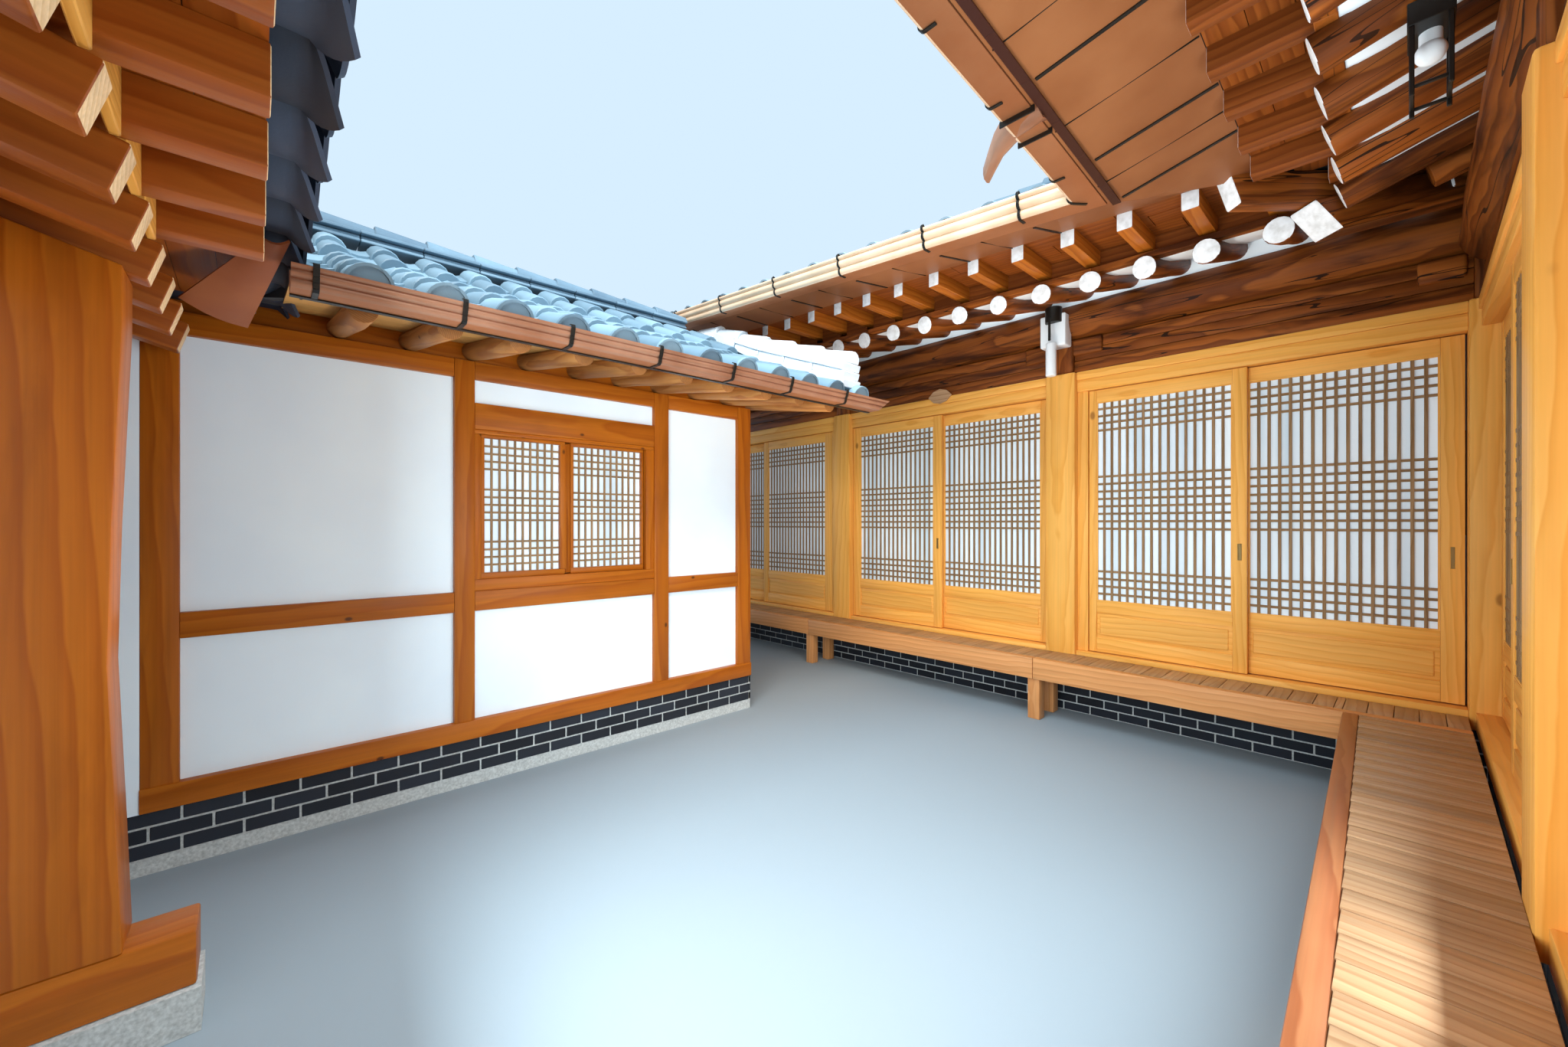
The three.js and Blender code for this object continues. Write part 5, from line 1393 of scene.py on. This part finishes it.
# Left wing: an oiled frame with plaster fields and one window
left = {"face": -3.645, "posts": [(-0.350, -0.232), (0.839, 0.944), (2.107, 2.223), (2.858, 2.988)],
        "post": 0.115, "sill": (0.267, 0.372), "rail": (0.997, 1.110), "plate": (2.330, 2.480),
        "windowTop": 2.045, "lintelTop": 2.195, "eave": (-2.78, 2.40), "ridge": (-4.70, 3.33),
        "grade": 0.158, "tile": 0.11, "bed": 0.085, "sag": 0.46, "end": 3.40, "radius": 0.052,
        "pitch": 0.305, "first": 0.33, "tip": 0.07}
leftHyp = math.hypot(1, left["grade"])
leftHalf = left["eave"][0] - left["ridge"][0]
leftSides = {"left_front": lambda t: left["eave"][0] - t,
             "left_rear": lambda t: 2 * left["ridge"][0] - left["eave"][0] + t}


def leftUnder(t):  # underside of the roof's boards, t in from the eave
    return left["eave"][1] + left["grade"] * t


def leftAxis(t):
    return leftUnder(t) - left["radius"] * leftHyp - 0.0003


leftPlateTop = leftUnder(left["eave"][0] - left["face"]) - 2 * left["radius"] * leftHyp - 0.0006


def leftTopAt(t):
    eaveTop = left["eave"][1] + left["tile"]
    crown = [(0, eaveTop), (leftHalf / 2, eaveTop + (left["ridge"][1] - eaveTop) * left["sag"]),
             (leftHalf - 0.11, left["ridge"][1]), (leftHalf + 0.2, left["ridge"][1])]
    for (t0, z0), (t1, z1) in zip(crown, crown[1:]):
        if t <= t1:
            return z0 + (z1 - z0) * (t - t0) / (t1 - t0)
    return left["ridge"][1]


def buildLeftFrame():
    back, face = left["face"] - left["post"], left["face"]
    near, far = left["posts"][0][0], left["posts"][3][1]
    windowLow, windowHigh = left["posts"][1][1], left["posts"][2][0]
    startPiece("left_wall_frame")
    for y0, y1 in left["posts"]:
        addBoard((back, y0, left["sill"][0]), (face, y1, leftPlateTop))
    endPiece([oiledPine], "oiled_pine", stands=["left_front_frame"], edge=0.006)
    startPiece("left_wall_rails")
    rear, front = back + 0.002, face - 0.003
    addBoard((rear, near - 0.001, left["sill"][0] + 0.001), (face + 0.008, far + 0.001, left["sill"][1]))
    for (_, y0), (y1, _) in zip(left["posts"], left["posts"][1:]):
        addBoard((rear, y0, left["rail"][0]), (front, y1, left["rail"][1]))
        addBoard((rear, y0, left["plate"][0]), (front, y1, leftPlateTop - 0.001))
    addBoard((rear, windowLow, left["windowTop"]), (front, windowHigh, left["lintelTop"]))
    addBoard((face - 0.085, -0.62, leftPlateTop - 0.004), (face - 0.062, far - 0.004, leftPlateTop + 0.115))
    endPiece([oiledPine], "oiled_pine", stands=["left_front_frame"], edge=0.004)


# Window: casing, two sashes with a lattice before the glass
window = {"casing": (0.944, 2.107, 1.11, 2.045), "sashes": [(1.000, 1.443), (1.538, 2.026)],
          "z": (1.212, 2.000), "x": (-3.745, -3.655), "low": 0.035, "side": 0.02, "track": 0.02,
          "stile": 0.0405, "bar": 0.011, "pitch": 0.043,
          "bands": [(2.0, -0.045, 4), (1.70, -0.045, 4), (1.212, 0.045, 4)]}


def buildLeftWindow():
    y0, y1, z0, z1 = window["casing"]
    inner, outer = window["x"]
    side, stile = window["side"], window["stile"]
    startPiece("left_window_casing")
    sashes, (s0, s1) = window["sashes"], window["z"]
    low, high = s0 - window["low"], s1 + side
    addBoard((inner, y0, z0), (outer, y1, low))
    addBoard((inner, y0, high), (outer, y1, z1))
    for a, b in ((y0, sashes[0][0] - side), (sashes[1][1] + side, y1)):
        addBoard((inner, a, low), (outer, b, high))
    for number, (a, b) in enumerate(sashes):
        # the second sash begins behind the first one's stile, and both end inside the casing
        first, last, over = (-9.0, 2.04, 0.03) if number == 0 else (1.49, 2.04, 0.02)
        x0, x1 = (outer - deep - window["track"] * number for deep in (0.045, 0.012))
        for c0, c1, h0, h1 in ((a - side, b + over, low, s0), (a - side, b + over, s1, high),
                               (a - side, a, s0, s1), (b, b + stile, s0, s1)):
            addBoard((x0, max(c0, first), h0), (x1, min(c1, last), h1))
    addBoard((outer - 0.065, sashes[0][1], s0 - 0.03), (outer - 0.047, sashes[1][0], s1 + 0.015))
    endPiece([oiledPine], "oiled_pine", stands=["left_window", "left_window_glass"], edge=0.003)
    startPiece("left_window_lattice")
    for number, (a, b) in enumerate(sashes):
        x = outer - 0.030 - window["track"] * number
        count = round((b - a) / window["pitch"])
        half = window["bar"] / 2
        for k in range(1, count):
            y = a + (b - a) * k / count
            addBoard((x - 0.011, y - half, s0 + 0.001), (x, y + half, s1 - 0.001))
        for start, step, lines in window["bands"]:
            for k in range(1 if start in (s0, s1) else 0, lines + 1):
                z = start + step * k
                addBoard((x - 0.0102, a + 0.001, z - half), (x - 0.0008, b - 0.001, z + half))
    endPiece([latticePine], "oiled_pine", edge=0.001, facets=1)
    startPiece("left_window_pane")
    for number, (a, b) in enumerate(sashes):
        x = outer - 0.0435 - window["track"] * number
        addBoard((x - 0.005, a - 0.004, s0 - 0.004), (x, b + 0.004, s1 + 0.004))
    endPiece([glassOverBlind], "glass", grain=False, edge=0.001, facets=1)


def buildLeftRafters():
    upper = leftHalf - 0.04
    for name, turn in leftSides.items():
        stands = [name + "_rafters"]
        startPiece(name + "_logs")
        y = left["first"]
        while y < left["end"] - 0.06:
            addLog(*((turn(t), y, leftAxis(t)) for t in (left["tip"], upper)), left["radius"])
            y += left["pitch"]
        roundEdges(0.005)
        growCrooked(5, 0.009)
        endPiece([barkedPine, sawnEnd], "oiled_pine", stands=stands,
                 ends=(1 if name == "left_front" else -1, 0, 0))
        startPiece(name + "_top_board")
        addPath([(turn(upper - 0.015), left[end] - 0.06, leftAxis(upper)) for end in ("first", "end")],
                0.03, 0.09)
        endPiece([oiledPine], "oiled_pine", stands=stands, edge=0.004, facets=1)
        # light boards between the rafters
        startPiece(name + "_soffit_boards")
        for k in range(11):
            t0 = 0.012 + k * 0.083
            addSheet(1, 1, lambda u, v: (turn(t0 + 0.081 * v), 0.105 + (left["end"] - 0.11) * u,
                                         leftUnder(t0 + 0.081 * v) - 0.004))
        thicken(0.01, 0.0)
        endPiece([lightPine], "oiled_pine")


def nearLimit(top):  # where a course this high meets the near wing's roof
    return 0.105 if top <= 2.742 else 0.115 - (top - 2.742) * 1.707


def buildLeftRoof():
    for name, turn in leftSides.items():
        def bed(s, t):
            return (turn(t), s, leftTopAt(t) - left["bed"])

        def core(u, v, w):
            t = leftHalf * v
            low, near = leftUnder(t), nearLimit(leftTopAt(t))
            return (turn(t), near + (left["end"] - near) * u, low + (leftTopAt(t) - left["bed"] - low) * w)

        shapeBlock(name + "_bed", 9, core)
        endPiece([clayBed], "grey_tile", stands=[name + "_roof"])
        rows = []
        y = left["end"] - 0.09
        while y > -0.85:
            low = -0.01
            while y < nearLimit(leftTopAt(low)) + 0.14 and low < leftHalf:
                low += 0.02
            if leftHalf - 0.10 - low > 0.2:
                rows.append((y, low, leftHalf - 0.10))
            y -= 0.27
        layTiles(name, bed, rows, 0.0, paleClay, steps=(0.30, 0.27))


buildLeftFrame()
buildLeftWindow()
buildLeftRafters()
buildLeftRoof()


def buildLeftRidge():
    x, top = left["ridge"]
    buildRidge("left_ridge", (x, -0.9, top - 0.01), (x, 3.0, top - 0.01), 0.10, 3, 0.075, ridgeClay)
    # the verge: flat courses and covers down both slopes at the far gable
    places = []
    y = 3.235
    startPiece("left_verge_courses")
    lifts = lambda t: 0.24 - 0.04 * min(1.0, 2 * t / leftHalf) - 0.125 * max(0.0, 2 * t / leftHalf - 1)
    for turn in leftSides.values():
        knots = [leftHalf * k / 6 for k in range(7)]
        for t0, t1 in zip(knots, knots[1:]):
            layers = 3 if lifts(t1) > 0.15 else 1
            thick = (lifts((t0 + t1) / 2) - 0.05) / layers
            for layer in range(layers):
                part, wide = (layer + 0.5) / layers, 0.20 - 0.02 * (layer % 2)
                addPath([(turn(t + back), y, leftTopAt(t) - 0.02 + (lifts(t) - 0.06) * part)
                         for t, back in ((t0, 0.004), (t1, -0.004))], wide, thick * 0.92)
            a, b = ((turn(t), y, leftTopAt(t) - 0.025 + lifts(t) - 0.06) for t in (t0, t1))
            places += capRow(a, b, 0.075)
    endPiece([limedClay], "grey_tile", edge=0.006, facets=1)
    repeatMesh("left_verge_caps", coverTile(), places)
    endPiece([limedClay], "grey_tile")


buildLeftRidge()

leftGutter = {
    "section": [(0, 0), (0.103, 0), (0.112, 0.003), (0.117, 0.012), (0.117, 0.026), (0.112, 0.032),
                (0.118, 0.036), (0.127, 0.043), (0.128, 0.056), (0.123, 0.061), (0.129, 0.065),
                (0.136, 0.071), (0.136, 0.078), (0.128, 0.080), (0.101, 0.006), (0.006, 0.006),
                (0.006, 0.091), (0, 0.091)],
    "strap": [(0.03, -0.003), (0.105, -0.003), (0.118, 0.006), (0.122, 0.026), (0.131, 0.045),
              (0.141, 0.074), (0.139, 0.088), (0.12, 0.094)],
    "straps": [0.17, 0.65, 1.10, 1.57, 2.05, 2.51, 3.03], "under": 2.335, "run": (0.1003, 3.412),
    "horn": 1.25,
}


def buildLeftGutter():
    y0, y1 = leftGutter["run"]
    spot = lambda y, out, up: (left["eave"][0] + 0.0003 + out, y, leftGutter["under"] + up)
    horn = leftGutter["horn"]  # the far end is cut slanting, its rim longest
    pullAlong("left_gutter_channel", [[spot(y0 + (y1 - y0 + (horn * u if k == 6 else 0)) * k / 6, o, u)
                                       for o, u in leftGutter["section"]] for k in range(7)])
    # the left gutter's outward faces take the rose copper: a painted highlight over its rosy colour
    endPiece([agedCopper, roseCopper], "copper", stands=["left_gutter"], grain=False, smooth=50,
             ends=(1, 0, 0), least=0.15)
    # a dark strip under the gutter's inner edge: a painted shadow line; then the black straps
    startPiece("left_gutter_strip")
    addBoard(spot(y0, 0.0, -0.006), spot(y1, 0.026, -0.001))
    for y in leftGutter["straps"]:
        addPath([spot(y, o, u) for o, u in leftGutter["strap"]], 0.020, 0.005)
    endPiece([blackIron], "copper", grain=False, edge=0.001, facets=1)


buildLeftGutter()
print("left wing ready")


# Near wing and passage: deep rafters, a waisted post on a sill, charcoal tiles
near = {"edge": 0.10, "plateTop": 2.315, "grade": 0.3, "tip": 0.31, "flyTip": 0.07, "flyRoot": 0.62,
        "flyZ": 2.43, "flyHigh": 0.115, "wide": 0.09, "high": 0.12, "ridgeY": -1.57, "ridgeTop": 3.65,
        "under": 2.492, "tile": 0.25, "bed": 0.10, "west": -6.62, "east": 0.15, "soffitWest": -3.54,
        "first": 0.23, "pitch": 0.31, "plateY": -0.56, "scaleRoot": 0.085, "lastTip": -2.7}
nearHyp = math.hypot(1, near["grade"])
nearHalf = near["edge"] - near["ridgeY"]


def nearAxis(t):
    plateEdge = near["edge"] - near["plateY"]
    return near["plateTop"] + 0.0003 + near["high"] / 2 * nearHyp + near["grade"] * (t - plateEdge)


def nearTopAt(t):
    eaveTop = near["under"] + near["tile"]
    return eaveTop + (near["ridgeTop"] - eaveTop) * min(1.0, t / (nearHalf - 0.12))


def nearUnder(t):  # underside of the roof: level over the eave, then on the deep rafters
    return max(near["under"], nearAxis(t) + near["high"] / 2 * nearHyp + 0.0003)


nearSides = {"near_front": lambda t: near["edge"] - t,
             "near_rear": lambda t: 2 * near["ridgeY"] - near["edge"] + t}


def buildNearWoodwork():
    for name, turn in nearSides.items():
        upper = nearHalf - 0.04
        finish = {"stands": [name + "_rafters"], "edge": 0.006, "least": 0.9,
                  "ends": (0, 1 if name == "near_front" else -1, 0)}
        xs = []
        x = near["east"] - near["first"]
        while x > -3.545:
            xs.append(x)
            x -= near["pitch"]
        startPiece(name + "_deep_rafters")
        for x in xs:
            addPath([(x, turn(t), nearAxis(t)) for t in (near["tip"], upper)], near["wide"], near["high"])
        endPiece([eavePine, paleEnd], "oiled_pine", **finish)
        startPiece(name + "_flying")
        tips = [x for x in xs if name == "near_rear" or x > near["lastTip"]]
        for x in tips:
            addPath([(x, turn(t), near["flyZ"]) for t in (near["flyTip"], near["flyRoot"])], near["wide"],
                    near["flyHigh"])
        endPiece([eavePine, paleEnd], "oiled_pine", **finish)
        # golden boards that close the gaps between the square rafters
        startPiece(name + "_gap_boards")
        lathZ = nearAxis(near["tip"]) + near["high"] / 2 * nearHyp
        y0, y1 = sorted((turn(near["tip"] - 0.002), turn(near["tip"] + 0.018)))
        for x0, x1 in zip(tips, tips[1:]):
            addBoard((x1 + near["wide"] / 2 - 0.002, y0, lathZ + 0.001),
                     (x0 - near["wide"] / 2 + 0.002, y1, near["under"] - 0.002))
        endPiece([paleLath], "oiled_pine", edge=0.003, facets=1)
        # planks over the rafters, running with the eave
        startPiece(name + "_soffit_boards")
        for j in range(8):
            def place(u, v):
                t = near["flyTip"] + 0.004 + 0.125 * (j + 0.985 * v)
                x = near["soffitWest"] + (near["east"] - 0.003 - near["soffitWest"]) * u
                return (x, turn(t), nearUnder(t) - 0.003)
            addSheet(2, 1, place)
        thicken(0.004, 0.0)
        endPiece([eavePine], "oiled_pine")
    # copper-faced board that closes the corner with the left roof
    startPiece("near_corner_board")
    a, b, c, d = (Vector(corner) for corner in ((-2.69, 0.026, 2.488), (-2.66, 0.098, 2.488),
                                                (-3.334, -0.013, 2.33), (-3.17, -0.205, 2.36)))
    sag = lambda u: Vector((0, 0, 0.016 * math.sin(math.pi * u)))
    addSheet(6, 6, lambda u, v: a.lerp(d, v).lerp(b.lerp(c, v), u) - sag(u))
    thicken(0.008, 0.0)
    endPiece([cornerCopper], "copper", grain=False)
    west, east, back = -2.63, -2.45, -0.5597
    outline = [(-0.266, 0.2903), (-0.276, 0.60), (-0.294, 1.10), (-0.286, 1.50), (-0.266, 2.07),
               (-0.266, None)]
    top = lambda y: nearAxis(near["edge"] - y) - near["high"] / 2 * nearHyp - 0.0003
    rings = []
    for y, z in outline:
        z = top(y) if z is None else z
        zb = top(back) if z == top(y) else z
        rings.append([(west, y, z), (east, y, z), (east, back, zb), (west, back, zb)])
    pullAlong("near_post_body", rings)
    endPiece([oiledPine], "oiled_pine", stands=["near_post"], edge=0.008, sharp=60)
    startPiece("near_sill_beam")
    addBoard((west, -2.62, 0.1303), (east, -0.12, 0.29))
    endPiece([oiledPine], "oiled_pine", stands=["near_sill"], edge=0.008)
    startPiece("near_plates")
    for y in (-0.62, -2.52):
        addBoard((-3.6447, y - 0.06, near["plateTop"] - 0.16), (near["east"], y + 0.06, near["plateTop"]))
    endPiece([oiledPine], "oiled_pine", stands=["near_front_plate", "near_rear_plate"], edge=0.006)


buildNearWoodwork()


def buildNearRoof():
    for name, turn in nearSides.items():
        def bed(s, t):
            return (s, turn(t), nearTopAt(t) - near["bed"])

        def core(u, v, w):
            t = near["scaleRoot"] + (nearHalf - near["scaleRoot"]) * v
            x = near["west"] + (near["east"] - near["west"]) * u
            return (x, turn(t), nearUnder(t) + (nearTopAt(t) - near["bed"] - nearUnder(t)) * w)

        shapeBlock(name + "_bed", 9, core)
        endPiece([blackClay], "black_tile", stands=[name + "_roof"])
        rows = []
        x = near["east"] - 0.205
        while x > near["west"] + 0.05:
            rows.append((x, -0.01, nearHalf - 0.10))
            x -= tile["pitch"]
        # the lowest tiles: bowed plates that reach past the rafters and end in a pointed lip
        startPiece(name + "_eave_scales")
        for x, _, _ in rows:
            def place(u, v):
                across = 2 * u - 1
                flat, lip = min(1.0, v / 0.6), max(0.0, (v - 0.6) / 0.4)
                point = (1 - abs(across)) ** 0.8
                y = -0.02 + 0.11 * flat + (0.012 + 0.055 * point) * lip
                z = 2.553 - 0.036 * (1 - across * across) - (0.012 + 0.05 * point) * lip
                return (x + 0.03 + 0.149 * across, turn(near["edge"] - y), z)
            addSheet(10, 8, place)
        thicken(0.014, 1.0)
        endPiece([blackClay], "black_tile", smooth=40)
        layTiles(name, bed, rows, 0.0, blackClay, "black_tile",
                 apron={"lean": 0.09, "deep": 0.055, "wide": 0.15, "point": 0.01})
    ends = ((x, near["ridgeY"], near["ridgeTop"]) for x in (near["west"], near["east"]))
    buildRidge("near_ridge", *ends, 0.12, 4, 0.13, blackClay, "black_tile")


buildNearRoof()
print("near wing ready")


# Small fittings seen in the courtyard: lamps, a rain spout, a wooden plate over a door
fittings = {
    "sconce": {"at": (-1.926, 4.76), "box": (0.098, 2.90, 3.15), "tube": (0.039, 2.66, 2.92),
               "cap": (0.062, 3.08, 3.2)},
    "lantern": {"at": (0.04, 2.68, 3.086), "wide": 0.08, "long": 0.146, "drop": 0.28, "globe": 0.036},
    "plate": {"at": (-3.02, 4.79, 2.70), "half": (0.125, 0.07)},
}


def buildSconce():  # a wall lamp: white box, black cap, a white glass tube hanging from it
    x, y = fittings["sconce"]["at"]
    half, low, high = fittings["sconce"]["box"]
    startPiece("sconce_box")
    addBoard((x - half, y - 0.10, low), (x + half, y + 0.03, high))
    endPiece([whiteEnamel], "plaster", grain=False, edge=0.012, facets=3)
    radius, low, high = fittings["sconce"]["tube"]
    startPiece("sconce_tube")
    addLog((x, y - 0.125, low), (x, y - 0.125, high), radius, 24)
    endPiece([whiteEnamel], "plaster", grain=False, edge=0.008, facets=3)
    radius, low, high = fittings["sconce"]["cap"]
    startPiece("sconce_cap")
    addLog((x + 0.01, y - 0.10, low), (x + 0.01, y - 0.10, high), radius, 24)
    addBoard((x - 0.006, y - 0.172, 2.93), (x + 0.014, y - 0.158, low + 0.03))
    endPiece([blackIron], "copper", grain=False, edge=0.006)


def buildLantern():  # hangs under the rafters of the right wing: four thin legs, a globe, two rings
    x, y, top = fittings["lantern"]["at"]
    wide, long, drop = (fittings["lantern"][key] for key in ("wide", "long", "drop"))
    startPiece("lantern_frame")
    x0, x1, y0, y1 = x - wide / 2, x + wide / 2, y - long / 2, y + long / 2
    addBoard((x0 - 0.01, y0 - 0.01, top - 0.07), (x1 + 0.01, y1 + 0.01, top))
    addBoard((x - 0.02, y - 0.02, top - 0.001), (x + 0.02, y + 0.02, top + 0.09))
    for a in (x0, x1):
        for b in (y0, y1):
            addBoard((a - 0.006, b - 0.006, top - drop), (a + 0.006, b + 0.006, top - 0.069))
    low, high = top - drop + 0.02, top - drop + 0.03
    for b in (y0, y1):
        addBoard((x0 + 0.005, b - 0.005, low), (x1 - 0.005, b + 0.005, high))
    for a in (x0, x1):
        addBoard((a - 0.005, y0 + 0.005, low), (a + 0.005, y1 - 0.005, high))
    endPiece([blackIron], "copper", grain=False, edge=0.002, facets=1)
    startPiece("lantern_globe")
    radius = fittings["lantern"]["globe"]
    bpy.ops.mesh.primitive_uv_sphere_add(segments=28, ring_count=16, radius=radius,
                                         location=survey + Vector((x, y, top - 0.075 - radius - 0.02)))
    addLog((x, y, top - 0.115), (x, y, top - 0.068), 0.026, 20)
    endPiece([whiteEnamel], "plaster", grain=False, smooth=60)


def buildSpout():  # rain spout of the right gutter: a curved copper channel, outward and down
    path = [(-1.03, 2.40, 3.225, 0.062), (-1.12, 2.43, 3.23, 0.066), (-1.20, 2.47, 3.235, 0.06),
            (-1.28, 2.52, 3.225, 0.05), (-1.34, 2.57, 3.20, 0.042), (-1.385, 2.60, 3.165, 0.034)]
    section = [(-1.0, 1.0), (-1.0, 0.0), (-0.75, -0.7), (0.0, -1.0), (0.75, -0.7), (1.0, 0.0), (1.0, 1.0),
               (0.86, 1.0), (0.86, 0.05), (0.62, -0.55), (0.0, -0.82), (-0.62, -0.55), (-0.86, 0.05),
               (-0.86, 1.0)]
    pullAlong("rain_spout", [[(x, y + a * half, z + b * half * 0.8) for a, b in section]
                             for x, y, z, half in path])
    endPiece([roseCopper], "copper", grain=False, smooth=50)
    startPiece("rain_spout_collar")
    addBoard((-1.185, 2.33, 3.172), (-1.035, 2.338, 3.20))
    addBoard((-1.185, 2.50, 3.162), (-1.035, 2.508, 3.19))
    endPiece([blackIron], "copper", grain=False, edge=0.002, facets=1)


def buildDoorPlate():  # a pointed wooden plate on the rail over the middle doors
    x, y, z = fittings["plate"]["at"]
    wide, high = fittings["plate"]["half"]
    outline = [(-1.0, 0.0), (-0.55, -0.75), (-0.2, -0.9), (0.0, -1.0), (0.2, -0.9), (0.55, -0.75),
               (1.0, 0.0), (0.55, 0.75), (0.2, 0.9), (0.0, 1.0), (-0.2, 0.9), (-0.55, 0.75)]
    pullAlong("door_plate", [[(x + a * wide, depth, z + b * high) for a, b in outline]
                             for depth in (y, y - 0.012)])
    endPiece([porchPine], "honey_pine", edge=0.002, facets=1)


buildSconce()
buildLantern()
buildSpout()
buildDoorPlate()
print("fittings ready")
